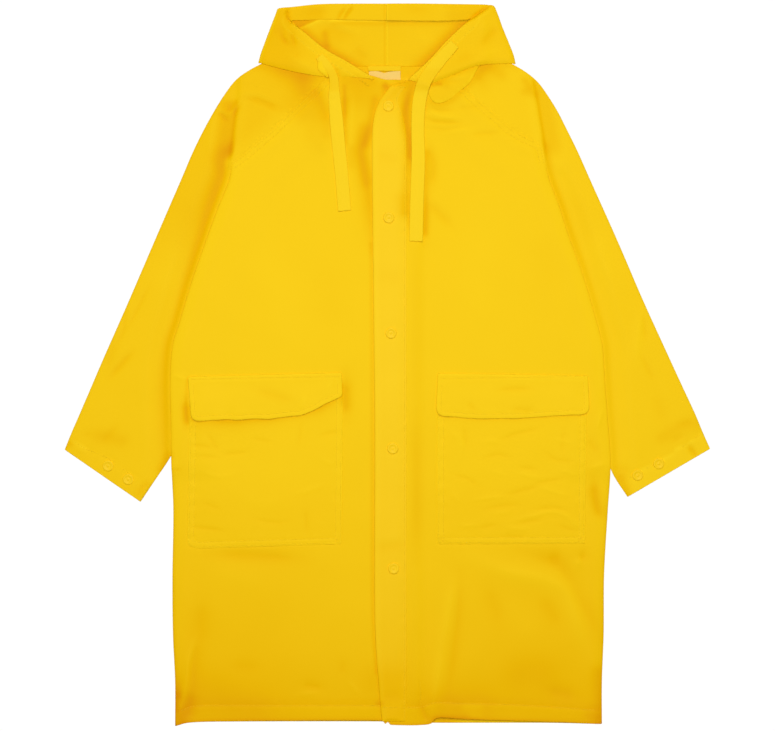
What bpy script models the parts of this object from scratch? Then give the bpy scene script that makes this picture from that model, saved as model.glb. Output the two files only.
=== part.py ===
"""A child's hooded raincoat with snaps, lying flat on its back.

Sides are the wearer's: the wearer's right is at -X. +Y runs up the coat towards the hood and +Z is up
from the surface it lies on, at z = 0. Tables are in millimetres, with heights measured up from the
lowest point of the hem; the objects are in metres.
"""

import math
from collections import namedtuple

import bpy
import numpy as np
from mathutils import Vector
from mathutils.geometry import delaunay_2d_cdt

# Driving dimensions, mm
CENTRE_X = 1.0
CENTRE_HEIGHT = 404.7
WALL = 1.0
GAP = 0.3
SPACING = 17.0
MM = 0.001

# Heights of the undersides above the surface, mm
FRONT_BASE = 3.2
FRONT_OVER_SLEEVE = 4.7
STEP = WALL + GAP
OVER_FRONT = STEP + 0.2
HOOD_OVER_NECK = 6.4
HOOD_BASE = 5.0
HOOD_ROLL = 0.8
ON_BACK = STEP + 0.15
TUCK_TOP = 4.3

# Where the levels change, and over what width, mm
SIDE_ROLL = 7.0
TUCK = 34.0
TUCK_SLOPE = 30.0
UNDERARM = 296.0
UNDERARM_SLOPE = 24.0
FOLD_MARGIN = 6.0
FOLD_FADE = 20.0
PLACKET_EDGE = 22.0
UNDER_FRONT_EDGE = 28.0
OVER_FRONT_SLOPE = 14.0
OVER_FRONT_START = 3.0
FLAP_SEAM_HEIGHT = 388.0
FLAP_SLOPE = 40.0
FLAP_LIFT = 1.2
VALLEY_DEPTH = 0.7
VALLEY_WIDTH = 6.0
ARM_RISE = 1.7
ARM_RISE_WIDTH = 26.0
SHOULDER_RISE = 1.0
SHOULDER_RISE_WIDTH = 14.0
SHOULDER_STEP = 1.2
SHOULDER_FOLD_WIDTH = 12.0
SHOULDER_LOW = 600.0
SHOULDER_FADE = 20.0
SLEEVE_LIFT_START = 7.0
SLEEVE_LIFT_WIDTH = 13.0
HOOD_SLOPE_HEIGHT = 742.0
HOOD_SLOPE = 22.0

# Seams, edges and small pieces, mm
CENTRE_SEAM = 0.15
NECK_SEAM_GAP = 0.5
HEM_CORNER = 8.0
BACK_INSET = 1.5
FRONT_INSET = 1.0
BACK_SPACING = 60.0
CAP_RADIUS = 6.2
CAP_HEIGHT = 2.1
CAP_STEPS = 16
TAPE_WIDTH = 15.0
STRIP_THICKNESS = 0.6

# A fold seen in section: its half turns, in radians, where its rounding starts, and how many points lead to it
FOLD_TURNS = (-0.9, 0, 0.9)
SLEEVE_FOLD_START = 3.2
SLEEVE_TUCK_START = 2.6
SLEEVE_MARGIN = 9.0
SLEEVE_STEPS = 9
HOOD_FOLD_START = 4.0
HOOD_FOLD_RADIUS = 3.0
HOOD_LOWER_STEPS = 8
HOOD_UPPER_STEPS = 11

COAT_YELLOW = (0.93, 0.60, 0.01)
TRIM_YELLOW = (0.95, 0.64, 0.02)
LABEL_PEACH = (0.95, 0.66, 0.25)

# The coat's sides, from the hem to the fold above the armpit: height, wearer's right, wearer's left
BodyRow = namedtuple("BodyRow", "height right left")
BODY = [
    BodyRow(0, -237, 241.5),
    BodyRow(50, -237, 241.5),
    BodyRow(105, -239.5, 243.5),
    BodyRow(170, -240, 244),
    BodyRow(240, -239, 248),
    BodyRow(290, -241, 251),
    BodyRow(340, -241.5, 248),
    BodyRow(385, -242.5, 244.5),
    BodyRow(425, -240, 242),
    BodyRow(450, -232.5, 236),
    BodyRow(500, -217.5, 221.5),
    BodyRow(550, -200, 203.5),
    BodyRow(580, -189, 194),
    BodyRow(612, -176, 182),
    BodyRow(630, -174, 178),
]

# Raglan seams of both fronts and the back, from the armpit fold up to the neck
SeamRow = namedtuple("SeamRow", "right_x right_height left_x left_height")
RAGLAN = [
    SeamRow(-163, 638, 173, 650),
    SeamRow(-146, 652, 156, 659.5),
    SeamRow(-128, 667.5, 141.5, 667.5),
    SeamRow(-111, 684, 120, 686),
    SeamRow(-98, 697, 101, 702),
    SeamRow(-85, 709, 89, 713),
    SeamRow(-72, 722, 77, 724),
    SeamRow(-64, 730, 70, 731),
]

# Neck seam, from the middle out to the hood's corner: the hood's lower layer meets the back and sleeves here
NeckRow = namedtuple("NeckRow", "x height")
NECK = [
    NeckRow(0, 739.3),
    NeckRow(30, 739.0),
    NeckRow(62, 740.2),
    NeckRow(100, 742.6),
    NeckRow(136, 744.6),
    NeckRow(141, 744),
]

# Hem line, from the wearer's right to left: the fronts' lower edge and the back's
HemRow = namedtuple("HemRow", "x front back")
HEM = [
    HemRow(-237, 0.5, 0.0),
    HemRow(-216, 5.0, 4.5),
    HemRow(-150, 6.5, 5.5),
    HemRow(-8, 7.0, 5.5),
    HemRow(0, 2.5, 4.0),
    HemRow(46, 2.5, 4.0),
    HemRow(58, 10.0, 4.0),
    HemRow(96, 8.0, 4.0),
    HemRow(184, 5.5, 4.0),
    HemRow(241, 3.0, 2.5),
]

# Free edge of the over front, which carries the placket, and the placket's stitched edge
PlacketRow = namedtuple("PlacketRow", "height edge stitch")
PLACKET = [
    PlacketRow(3, -4.5, PLACKET_EDGE),
    PlacketRow(40, -8, PLACKET_EDGE),
    PlacketRow(130, -13, PLACKET_EDGE),
    PlacketRow(330, -13, PLACKET_EDGE),
    PlacketRow(530, -15, PLACKET_EDGE),
    PlacketRow(650, -16, PLACKET_EDGE),
    PlacketRow(680, -14, 19),
    PlacketRow(697, -9, 13),
    PlacketRow(707, -2.5, 15),
    PlacketRow(718, 6, 24),
]

# Sleeve sections, each a line across the flattened tube from the outer fold to the tucked inner fold
SleeveRow = namedtuple("SleeveRow", "outer_x outer_height inner_x inner_height")
SLEEVE_RIGHT = [
    SleeveRow(-137, 743, -62, 738.8),
    SleeveRow(-154, 734, -72, 710),
    SleeveRow(-168.5, 723.5, -87, 694),
    SleeveRow(-180, 709, -105, 676),
    SleeveRow(-192, 690, -124, 658.5),
    SleeveRow(-204.5, 667.5, -139.5, 643),
    SleeveRow(-217, 642, -153, 614),
    SleeveRow(-230, 611.5, -163.5, 580),
    SleeveRow(-259, 544.5, -187, 506),
    SleeveRow(-288, 477, -209, 434.5),
    SleeveRow(-317.5, 410, -221, 363),
    SleeveRow(-331, 378.5, -227, 329),
    SleeveRow(-343, 350.5, -242, 301),
    SleeveRow(-353, 327.5, -259, 275.5),
    SleeveRow(-360, 310, -275, 251.5),
]
SLEEVE_LEFT = [
    SleeveRow(137.5, 743, 64, 738.8),
    SleeveRow(154, 733.5, 77, 709),
    SleeveRow(168, 722.5, 93, 693),
    SleeveRow(178.5, 709, 111, 677.5),
    SleeveRow(191, 689, 131, 661),
    SleeveRow(202, 667.5, 146, 640),
    SleeveRow(214.5, 642, 160, 610),
    SleeveRow(228, 611.5, 172, 576),
    SleeveRow(258, 544.5, 197.5, 506),
    SleeveRow(287, 477, 219, 434.5),
    SleeveRow(317.5, 410, 228, 363),
    SleeveRow(332, 378.5, 232, 329),
    SleeveRow(345, 350.5, 245, 303),
    SleeveRow(354, 329, 254, 281),
    SleeveRow(362, 311, 269.5, 257),
]

# The fold that crosses each sleeve at the shoulder: the arm comes out below it
ShoulderRow = namedtuple("ShoulderRow", "right_x right_height left_x left_height")
SHOULDER_FOLD = [
    ShoulderRow(-164, 712, 158, 735),
    ShoulderRow(-165, 698, 163.5, 714.5),
    ShoulderRow(-169, 664, 169.5, 682),
    ShoulderRow(-174, 630, 175, 648),
]

# Hood sections, from the bottom corner round to the top centre: the fold, the opening's edge in the
# upper layer, and where the section meets the centre seam in the lower layer
HoodRow = namedtuple("HoodRow", "fold_x fold_height edge_x edge_height seam_height")
HOOD_RIGHT = [
    HoodRow(-143.5, 742.5, -14, 724, 739.5),
    HoodRow(-141, 752, -24, 731, 746),
    HoodRow(-136, 766, -48, 745.5, 754),
    HoodRow(-130, 782, -69, 757.5, 763),
    HoodRow(-124, 798, -90, 774.5, 771),
    HoodRow(-119, 803.5, -105, 786.5, 777),
    HoodRow(-104, 805.5, -93, 790, 783),
    HoodRow(-74, 808.5, -69, 791, 790),
    HoodRow(-35, 809, -34, 790.5, 797),
    HoodRow(-CENTRE_SEAM, 809, -CENTRE_SEAM, 790, 803),
]
HOOD_LEFT = [
    HoodRow(144.5, 741.5, 24.8, 723.2, 739.5),
    HoodRow(142, 752, 36.4, 734, 746),
    HoodRow(136.5, 766, 51.7, 749, 754),
    HoodRow(130, 782, 65, 764, 763),
    HoodRow(124, 799, 80.5, 779, 771),
    HoodRow(118.5, 806, 94, 791.5, 777),
    HoodRow(106, 808, 88, 790.5, 783),
    HoodRow(74, 808.5, 68, 789.5, 790),
    HoodRow(35, 809, 34, 789.5, 797),
    HoodRow(CENTRE_SEAM, 809, CENTRE_SEAM, 790, 803),
]
# Bottom edge of each hood half's upper layer, from its outer corner to the opening
HoodHemRow = namedtuple("HoodHemRow", "x height")
HOOD_HEM_RIGHT = [
    HoodHemRow(-143.5, 742.5),
    HoodHemRow(-119, 736),
    HoodHemRow(-97, 731),
    HoodHemRow(-72, 727),
    HoodHemRow(-54, 727.5),
    HoodHemRow(-14, 724),
]
HOOD_HEM_LEFT = [
    HoodHemRow(144.5, 741.5),
    HoodHemRow(122, 741.5),
    HoodHemRow(104, 740),
    HoodHemRow(87, 719),
    HoodHemRow(74, 704),
    HoodHemRow(57, 695.5),
    HoodHemRow(46, 702),
    HoodHemRow(24.8, 723.2),
]
# The crease where the wearer's left hood half turns over on itself above the neck seam
HOOD_CREASE = [HoodHemRow(112, 741.5), HoodHemRow(96, 737), HoodHemRow(74, 729), HoodHemRow(50, 719)]

# Necklines of the two fronts, from the lap to the raglan seam
NECKLINE_RIGHT = [(26, 722), (12, 723.2), (-2, 723.5), (-14, 727), (-32, 731), (-56, 732)]
NECKLINE_LEFT = [(7, 718), (22, 720.5), (42, 727), (62, 731)]

# The largest folds of the fronts: a start, an end, half the width and the height, negative for a trough
Fold = namedtuple("Fold", "name start_x start_height end_x end_height half_width rise")
FRONT_FOLDS = [
    Fold("trough_beside_the_free_edge", -26, 690, -26, 540, 11, -1.7),
    Fold("trough_right_of_the_placket_top", 28, 716, 29, 610, 10, -1.5),
    Fold("trough_right_of_the_placket", 36, 500, 35, 140, 11, -1.1),
    Fold("ridge_at_the_left_hem", 80, 168, 68, 109, 11, 0.9),
    Fold("ridge_at_the_left_hem_end", 68, 109, 52, 6, 10, 1.3),
    Fold("ridge_below_the_left_pocket", 170, 184, 200, 152, 12, 0.9),
    Fold("ridge_at_the_left_side", 200, 152, 223, 108, 12, 1.0),
    Fold("trough_at_the_left_side", 172, 146, 196, 112, 10, -0.9),
    Fold("ridge_at_the_right_hem_corner", -210, 98, -226, 22, 10, 0.9),
    Fold("trough_below_the_right_pocket", -200, 192, -120, 184, 14, -0.8),
    Fold("trough_below_the_tie", 46, 590, 70, 562, 10, -0.8),
]

# Pockets and flaps: an outline's corners, rounded by corner_radius at the lower ones
PocketRow = namedtuple("PocketRow", "x height radius")
POCKET_RIGHT = [
    PocketRow(-219.5, 384, 2),
    PocketRow(-223, 203, 4),
    PocketRow(-212, 199, 6),
    PocketRow(-50, 204, 2),
    PocketRow(-48.5, 384, 2),
]
POCKET_LEFT = [
    PocketRow(57, 384, 2),
    PocketRow(56.5, 204, 2),
    PocketRow(222, 204.5, 2),
    PocketRow(224, 384, 2),
]
FLAP_RIGHT = [
    PocketRow(-221.8, 391, 1),
    PocketRow(-218, 341.8, 8),
    PocketRow(-118, 345, 14),
    PocketRow(-94, 348.5, 10),
    PocketRow(-49.5, 369.5, 3),
    PocketRow(-50.3, 395.4, 1),
]
FLAP_LEFT = [
    PocketRow(57.6, 394.8, 1),
    PocketRow(55.5, 347.5, 10),
    PocketRow(118, 343.5, 30),
    PocketRow(226.5, 349.5, 9),
    PocketRow(224.8, 392.2, 1),
]

# Tie tapes, from the sewn end on the hood to the free end
TieRow = namedtuple("TieRow", "x height")
TIE_RIGHT = [
    TieRow(-75, 749),
    TieRow(-66, 738),
    TieRow(-59, 725),
    TieRow(-58, 702),
    TieRow(-54, 655),
    TieRow(-50, 615),
    TieRow(-47, 577),
]
TIE_LEFT = [
    TieRow(76, 763),
    TieRow(58, 743),
    TieRow(42, 722),
    TieRow(35, 700),
    TieRow(34.5, 662),
    TieRow(35.5, 634),
    TieRow(34, 590),
    TieRow(33, 543),
]

PLACKET_SNAPS = [(2, 694), (2.5, 569), (5, 440), (7, 311), (8, 177)]
CUFF_SNAPS = {"right": [(-311.5, 291.5), (-289, 276.5)], "left": [(304.5, 294), (281, 281)]}

# Neck tape and label, inside the back neck: left, right, top and bottom, mm
Strip = namedtuple("Strip", "left right top bottom")
HANGER_LOOP = Strip(-20.5, 16, 739, 734)
NECK_LABEL = Strip(-19.5, 15.5, 733, 716)


# Curves and heights ---------------------------------------------------------------------------------


def curve(points, spacing=SPACING):
    """A smooth open curve through the points, as (n, 2) or (n, 3) values about one spacing apart."""
    points = np.asarray(points, float)
    ends = [2 * points[0] - points[1], 2 * points[-1] - points[-2]]
    knots = np.vstack([ends[:1], points, ends[1:]])
    fine = [points[:1]]
    for before, start, end, after in zip(knots, knots[1:], knots[2:], knots[3:]):
        for t in np.linspace(0, 1, 17)[1:]:
            bend = (2 * before - 5 * start + 4 * end - after) * t**2
            twist = (3 * start - before - 3 * end + after) * t**3
            fine.append((0.5 * (2 * start + (end - before) * t + bend + twist))[None])
    fine = np.vstack(fine)
    along = np.r_[0, np.cumsum(np.linalg.norm(np.diff(fine[:, :2], axis=0), axis=1))]
    count = max(2, round(along[-1] / spacing) + 1)
    return resample(fine, along, np.linspace(0, along[-1], count))


def resample(values, along, places):
    return np.stack([np.interp(places, along, column) for column in np.asarray(values).T], axis=1)


def interpolate(rows, key, value):
    """A smooth function of one column of a table, giving another."""
    fine = curve([(getattr(row, key), getattr(row, value)) for row in rows], 2.0)
    order = np.argsort(fine[:, 0])
    return lambda places: np.interp(places, fine[order, 0], fine[order, 1])


def smooth(value):
    value = np.clip(value, 0, 1)
    return value * value * (3 - 2 * value)


def distance(points, line):
    """Each point's distance to a chain of points."""
    best = np.full(len(points), np.inf)
    for start, end in zip(line[:-1], line[1:]):
        span = end - start
        t = np.clip((points - start) @ span / max(span @ span, 1e-9), 0, 1)
        best = np.minimum(best, np.linalg.norm(points - start - t[:, None] * span, axis=1))
    return best


def inside(points, outline):
    crossings = np.zeros(len(points), bool)
    for start, end in zip(outline, np.roll(outline, -1, axis=0)):
        spans = (start[1] > points[:, 1]) != (end[1] > points[:, 1])
        rise = end[1] - start[1] or 1e-9
        crossings ^= spans & (points[:, 0] < start[0] + (points[:, 1] - start[1]) / rise * (end[0] - start[0]))
    return crossings


def folds_height(points, folds):
    """The sum of the folds' soft ridges and troughs at each point."""
    height = np.zeros(len(points))
    for fold in folds:
        start = np.array([fold.start_x, fold.start_height])
        span = np.array([fold.end_x, fold.end_height]) - start
        reach = np.linalg.norm(span)
        along = (points - start) @ span / reach
        beyond = np.maximum(0, np.maximum(-along, along - reach)) / (1.8 * fold.half_width)
        across = np.abs((points - start) @ np.array([-span[1], span[0]]) / reach) / fold.half_width
        height += fold.rise * np.exp(-(across**2) - beyond**2)
    return height


def side_line(side):
    """The coat's side edge and raglan seam, from the hem up to the neck, on one side."""
    body = curve([(getattr(row, side), row.height) for row in BODY])
    raglan = [(getattr(row, side + "_x"), getattr(row, side + "_height")) for row in RAGLAN]
    return np.vstack([body, curve([tuple(body[-1]), *raglan], 12.0)[1:]])


SIDE = {side: side_line(side) for side in ("right", "left")}
SIGN = {"right": -1, "left": 1}
FREE_EDGE = interpolate(PLACKET, "height", "edge")
STITCHED_EDGE = interpolate(PLACKET, "height", "stitch")
HEM_OF = {"front": interpolate(HEM, "x", "front"), "back": interpolate(HEM, "x", "back")}


def front_level(points, side):
    """Height of a front's underside: it lies on the back, over the sleeve's tuck, and rolls down at its side."""
    edge = distance(points, SIDE[side])
    over_sleeve = smooth((points[:, 1] - UNDERARM) / UNDERARM_SLOPE + 1)
    near = 1 - smooth((edge - TUCK) / TUCK_SLOPE)
    level = FRONT_BASE + (FRONT_OVER_SLEEVE - FRONT_BASE) * near * over_sleeve
    level = level + folds_height(points, FRONT_FOLDS) * smooth((edge - FOLD_MARGIN) / FOLD_FADE)
    into_roll = np.clip(1 - edge / SIDE_ROLL, 0, 1)
    dropped = STEP + (level - STEP) * np.sqrt(1 - into_roll**2)
    level = np.where(points[:, 1] < UNDERARM, dropped + (level - dropped) * over_sleeve, level)
    if side == "right":
        return level
    past_lap = points[:, 0] - UNDER_FRONT_EDGE - OVER_FRONT_START
    return level + OVER_FRONT * (1 - smooth(past_lap / OVER_FRONT_SLOPE))


def panel_level(points):
    """Height of the fronts' undersides, whichever front is uppermost at each point."""
    over = points[:, 0] > FREE_EDGE(points[:, 1])
    return np.where(over, front_level(points, "left"), front_level(points, "right"))


# Making objects --------------------------------------------------------------------------------------


def clear_scene():
    for obj in list(bpy.data.objects):
        bpy.data.objects.remove(obj, do_unlink=True)


def material(name, colour, roughness):
    made = bpy.data.materials.new(name)
    made.use_nodes = True
    shader = made.node_tree.nodes["Principled BSDF"]
    shader.inputs["Base Color"].default_value = (*colour, 1)
    shader.inputs["Roughness"].default_value = roughness
    shader.inputs["Metallic"].default_value = 0
    made.diffuse_color = (*colour, 1)
    return made


def add_object(name, points, faces, finish):
    """An object whose points are in millimetres, with heights above the hem moved to the coat's middle."""
    centred = (np.asarray(points, float) - (CENTRE_X, CENTRE_HEIGHT, 0)) * MM
    mesh = bpy.data.meshes.new(name)
    mesh.from_pydata([tuple(point) for point in centred], [], faces)
    mesh.materials.append(finish)
    mesh.validate()
    made = bpy.data.objects.new(name, mesh)
    PARTS.objects.link(made)
    mesh.shade_smooth()
    return made


def thicken(obj, outwards, thickness=WALL):
    solid = obj.modifiers.new("wall", "SOLIDIFY")
    solid.thickness = thickness * MM
    solid.offset = 1 if outwards else -1
    solid.use_even_offset = True
    solid.use_quality_normals = True


def lattice(outline, spacing):
    """Points of one fixed triangular lattice that lie inside the outline, clear of its edge."""
    low, high = outline.min(axis=0), outline.max(axis=0)
    step_y = spacing * math.sqrt(3) / 2
    rows = range(math.floor(low[1] / step_y), math.ceil(high[1] / step_y) + 1)
    columns = range(math.floor(low[0] / spacing) - 1, math.ceil(high[0] / spacing) + 2)
    points = np.array([((column + row % 2 / 2) * spacing, row * step_y) for row in rows for column in columns])
    points = points[inside(points, outline)]
    return points[distance(points, np.vstack([outline, outline[:1]])) > 0.45 * spacing]


def panel(name, outline, level, finish, spacing=SPACING, extra=None):
    """A cloth wall over a flat outline; level gives its underside's height at each point."""
    inner = lattice(outline, spacing)
    if extra is not None:
        inner = np.vstack([inner[distance(inner, extra) > 0.4 * SIDE_ROLL], extra])
    corners = [Vector(point) for point in np.vstack([outline, inner])]
    ring = [(index, (index + 1) % len(outline)) for index in range(len(outline))]
    points, _, faces, *_ = delaunay_2d_cdt(corners, ring, [], 1, 1e-5)
    flat = np.array(points)
    faces = [face if turns_left(flat, face) else face[::-1] for face in faces]
    made = add_object(name, np.column_stack([flat, level(flat)]), faces, finish)
    thicken(made, outwards=True)
    return made


def turns_left(points, face):
    a, b, c = (points[index] for index in face[:3])
    return (b[0] - a[0]) * (c[1] - a[1]) - (b[1] - a[1]) * (c[0] - a[0]) > 0


def rounded(rows, spacing=SPACING):
    """A closed outline through the corners, each rounded with its own radius."""
    corners = np.array([(row.x, row.height) for row in rows], float)
    outline = []
    for index, row in enumerate(rows):
        here = corners[index]
        before, after = corners[index - 1], corners[(index + 1) % len(rows)]
        back = (before - here) / np.linalg.norm(before - here)
        ahead = (after - here) / np.linalg.norm(after - here)
        for t in (0, 0.25, 0.5, 0.75, 1):
            outline.append(here + row.radius * (back * (1 - t) ** 2 + ahead * t**2))
        length = np.linalg.norm(after - here) - row.radius - rows[(index + 1) % len(rows)].radius
        for step in range(1, round(length / spacing)):
            outline.append(here + ahead * (row.radius + length * step / round(length / spacing)))
    return np.array(outline)


def line_at(heights, of_x):
    """A line down the coat at these heights, from a function that gives its x."""
    return np.column_stack([of_x(heights), heights])


def inset(line, by, sign):
    """The line moved sideways, towards the coat's middle."""
    ahead = np.gradient(line, axis=0)
    ahead /= np.linalg.norm(ahead, axis=1)[:, None]
    return line + by * sign * np.column_stack([-ahead[:, 1], ahead[:, 0]])


# The coat's pieces -----------------------------------------------------------------------------------


def hem_line(start, end, kind):
    places = np.linspace(start, end, max(2, round(abs(end - start) / SPACING) + 1))
    return np.column_stack([places, HEM_OF[kind](places)])


def make_back():
    right = inset(SIDE["right"], BACK_INSET, SIGN["right"])
    left = inset(SIDE["left"], BACK_INSET, SIGN["left"])
    top = curve([(-row.x, row.height - NECK_SEAM_GAP) for row in NECK[2::-1]])
    top = np.vstack([top, top[-2::-1] * (-1, 1)])
    right, left = right[right[:, 1] > HEM_CORNER], left[left[:, 1] > HEM_CORNER]
    hem = hem_line(right[0, 0], left[0, 0], "back")
    outline = np.vstack([hem, left, top[::-1], right[::-1]])
    return panel("back", outline, lambda points: np.zeros(len(points)), CLOTH, spacing=BACK_SPACING)


def make_front(side):
    sign = SIGN[side]
    edge = inset(SIDE[side], FRONT_INSET, sign)
    edge = edge[edge[:, 1] > HEM_CORNER]
    hem_x = np.linspace(edge[0, 0], -4.5 if side == "left" else UNDER_FRONT_EDGE, 16)
    hem = np.column_stack([hem_x, HEM_OF["front"](hem_x if side == "left" else np.minimum(hem_x, -10))])
    if side == "right":
        opening = line_at(np.linspace(22, 708, 41), lambda h: np.full(len(h), UNDER_FRONT_EDGE))
        neck = curve(NECKLINE_RIGHT)
    else:
        opening = line_at(np.linspace(20, 710, 40), FREE_EDGE)
        neck = curve(NECKLINE_LEFT)
    outline = np.vstack([hem, opening, neck, edge[::-1]])
    rolled = inset(SIDE[side], SIDE_ROLL, sign)
    rolled = rolled[(rolled[:, 1] > 16) & (rolled[:, 1] < UNDERARM - 8)]
    return panel(
        "front_" + side,
        outline,
        lambda points: front_level(points, side),
        CLOTH,
        extra=rolled,
    )


def make_placket():
    heights = np.linspace(6, 716, 43)
    outline = np.vstack([line_at(heights, STITCHED_EDGE), line_at(heights[::-1], FREE_EDGE)])
    return panel("placket", outline, lambda points: front_level(points, "left") + OVER_FRONT, TRIM)


def make_pocket(side):
    rows = POCKET_RIGHT if side == "right" else POCKET_LEFT
    return panel("pocket_" + side, rounded(rows), lambda points: front_level(points, side) + STEP, CLOTH)


def make_flap(side):
    """The flap is sewn on along its top edge and stands off the pocket below."""
    rows = FLAP_RIGHT if side == "right" else FLAP_LEFT

    def level(points):
        lift = FLAP_LIFT * smooth((FLAP_SEAM_HEIGHT - points[:, 1]) / FLAP_SLOPE)
        return front_level(points, side) + 2 * STEP + lift

    return panel("flap_" + side, rounded(rows), level, CLOTH)


def outside_body(points, side):
    """Each point's distance outside the coat's side edge, negative within it."""
    outside = distance(points, SIDE[side])
    return np.where(inside(points, BACK_OUTLINE), -outside, outside)


def sleeve_top(points, side):
    """Height of a sleeve's outer face: low in the tuck under the front, full in the arm."""
    outside = outside_body(points, side)
    fold = curve([(getattr(row, side + "_x"), getattr(row, side + "_height")) for row in SHOULDER_FOLD])
    fold_x = np.interp(points[:, 1], fold[::-1, 1], fold[::-1, 0])
    past_fold = (points[:, 0] - fold_x) * SIGN[side] / SHOULDER_FOLD_WIDTH
    arm = smooth(past_fold + 1 / 3) * smooth((points[:, 1] - SHOULDER_LOW) / SHOULDER_FADE)
    rise = SHOULDER_RISE * smooth((outside - VALLEY_WIDTH) / SHOULDER_RISE_WIDTH)
    shoulder = TUCK_TOP + rise - SHOULDER_STEP * arm
    valley = TUCK_TOP - VALLEY_DEPTH * smooth(outside / VALLEY_WIDTH)
    valley = valley + ARM_RISE * smooth((outside - VALLEY_WIDTH) / ARM_RISE_WIDTH)
    return np.where(points[:, 1] < SHOULDER_LOW + SHOULDER_FADE / 2, valley, shoulder)


def sleeve_bottom(points, side):
    """A sleeve lies on the surface, and on the back panel where it is tucked under the front."""
    return ON_BACK * smooth(1 - (outside_body(points, side) - SLEEVE_LIFT_START) / SLEEVE_LIFT_WIDTH)


def sleeve_ring(outer, inner, side):
    """One closed section: the upper face inwards, round the inner fold, back below, round the outer fold."""
    across = inner - outer
    reach = np.linalg.norm(across)
    across = across / reach
    middle = np.linspace(SLEEVE_MARGIN, reach - SLEEVE_MARGIN, SLEEVE_STEPS)
    places = np.r_[SLEEVE_FOLD_START, middle, reach - SLEEVE_TUCK_START]
    upper = outer + places[:, None] * across
    ring = [np.column_stack([upper, sleeve_top(upper, side)])]
    ring.append(fold_round(inner, across, side)[::-1])
    lower = upper[::-1][::2]
    ring.append(np.column_stack([lower, sleeve_bottom(lower, side)]))
    ring.append(fold_round(outer, -across, side))
    return np.vstack(ring)


def fold_round(tip, outwards, side):
    """Three points round a fold of the sleeve, from below to above."""
    top = sleeve_top(tip[None], side)[0]
    bottom = sleeve_bottom(tip[None], side)[0]
    radius = (top - bottom) / 2
    return np.array(
        [
            [*(tip - outwards * radius * (1 - math.cos(turn))), bottom + radius + radius * math.sin(turn)]
            for turn in FOLD_TURNS
        ]
    )


def make_sleeve(side):
    rows = SLEEVE_RIGHT if side == "right" else SLEEVE_LEFT
    sections = curve([(row.outer_x, row.outer_height, row.inner_x, row.inner_height) for row in rows], 24.0)
    rings = [sleeve_ring(section[:2], section[2:], side) for section in sections]
    size = len(rings[0])
    faces = []
    for ring in range(len(rings) - 1):
        for index in range(size):
            ahead = (index + 1) % size
            face = [ring * size + index, ring * size + ahead, (ring + 1) * size + ahead, (ring + 1) * size + index]
            faces.append(face if side == "left" else face[::-1])
    made = add_object("sleeve_" + side, np.vstack(rings), faces, CLOTH)
    thicken(made, outwards=False)
    return made


def hood_top(points, side):
    """Height of the hood's upper layer's underside: raised where it lies over the fronts and sleeves."""
    down = 1 - smooth((points[:, 1] - HOOD_SLOPE_HEIGHT) / HOOD_SLOPE)
    level = HOOD_BASE + (HOOD_OVER_NECK - HOOD_BASE) * down
    if side == "left":
        crease = curve([tuple(row) for row in HOOD_CREASE])
        crease_height = np.interp(points[:, 0], crease[::-1, 0], crease[::-1, 1])
        above = smooth((points[:, 1] - crease_height + 3) / 6)
        level = level + HOOD_ROLL * above * smooth((118 - points[:, 0]) / 14)
    return level


def hood_outline(rows, hem):
    """The outline of a hood half's upper layer, seen from above."""
    fold = curve([(row.fold_x, row.fold_height) for row in rows])
    opening = curve([(row.edge_x, row.edge_height) for row in rows])
    return np.vstack([curve([tuple(row) for row in hem]), opening, fold[::-1]])


def make_hood(side):
    """Half the hood: from the centre seam out below, over the fold, and back above to the opening."""
    rows = HOOD_RIGHT if side == "right" else HOOD_LEFT
    hem = HOOD_HEM_RIGHT if side == "right" else HOOD_HEM_LEFT
    sign = SIGN[side]
    hem = curve([tuple(row) for row in hem], 6.0)
    sections = curve([tuple(row) for row in rows], 15.0)
    points = []
    for number, (fold_x, fold_height, edge_x, edge_height, seam_height) in enumerate(sections):
        fold, edge = np.array([fold_x, fold_height]), np.array([edge_x, edge_height])
        seam = np.array([sign * CENTRE_SEAM, seam_height])
        points.append(hood_section(fold, edge, seam, side, hem if number == 0 else None))
    size = len(points[0])
    faces = []
    for row in range(len(points) - 1):
        for index in range(size - 1):
            face = [row * size + index, row * size + index + 1, (row + 1) * size + index + 1, (row + 1) * size + index]
            faces.append(face if side == "right" else face[::-1])
    made = add_object("hood_" + side, np.vstack(points), faces, CLOTH)
    thicken(made, outwards=False)
    return made


def hood_section(fold, edge, seam, side, hem):
    """One section: the lower layer, three points round the fold, and the upper layer."""
    out = fold - seam
    reach = np.linalg.norm(out)
    out = out / reach
    top = hood_top(fold[None], side)[0] + WALL
    radius = top / 2
    lower = seam + np.linspace(0, max(reach - HOOD_FOLD_START, reach / 2), HOOD_LOWER_STEPS)[:, None] * out
    if hem is not None:
        neck = curve([(row.x * SIGN[side], row.height) for row in NECK])
        end = abs(neck[-1, 0]) - HOOD_FOLD_START / 2
        lower = resample(neck, np.abs(neck[:, 0]), np.linspace(CENTRE_SEAM, end, HOOD_LOWER_STEPS))
    section = [[*point, 0.0] for point in lower]
    for turn in FOLD_TURNS:
        tip = fold - out * min(radius, HOOD_FOLD_RADIUS) * (1 - math.cos(turn))
        section.append([*tip, radius + radius * math.sin(turn)])
    back = edge - fold
    span = np.linalg.norm(back)
    start = min(HOOD_FOLD_START, 0.3 * span)
    upper = fold + np.linspace(start, span, HOOD_UPPER_STEPS)[:, None] * back / span
    if hem is not None:
        along = np.r_[0, np.cumsum(np.linalg.norm(np.diff(hem, axis=0), axis=1))]
        upper = resample(hem, along, np.linspace(HOOD_FOLD_START, along[-1], HOOD_UPPER_STEPS))
    heights = hood_top(upper, side) + WALL
    section.extend([*point, height] for point, height in zip(upper, heights))
    return np.array(section)


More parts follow.
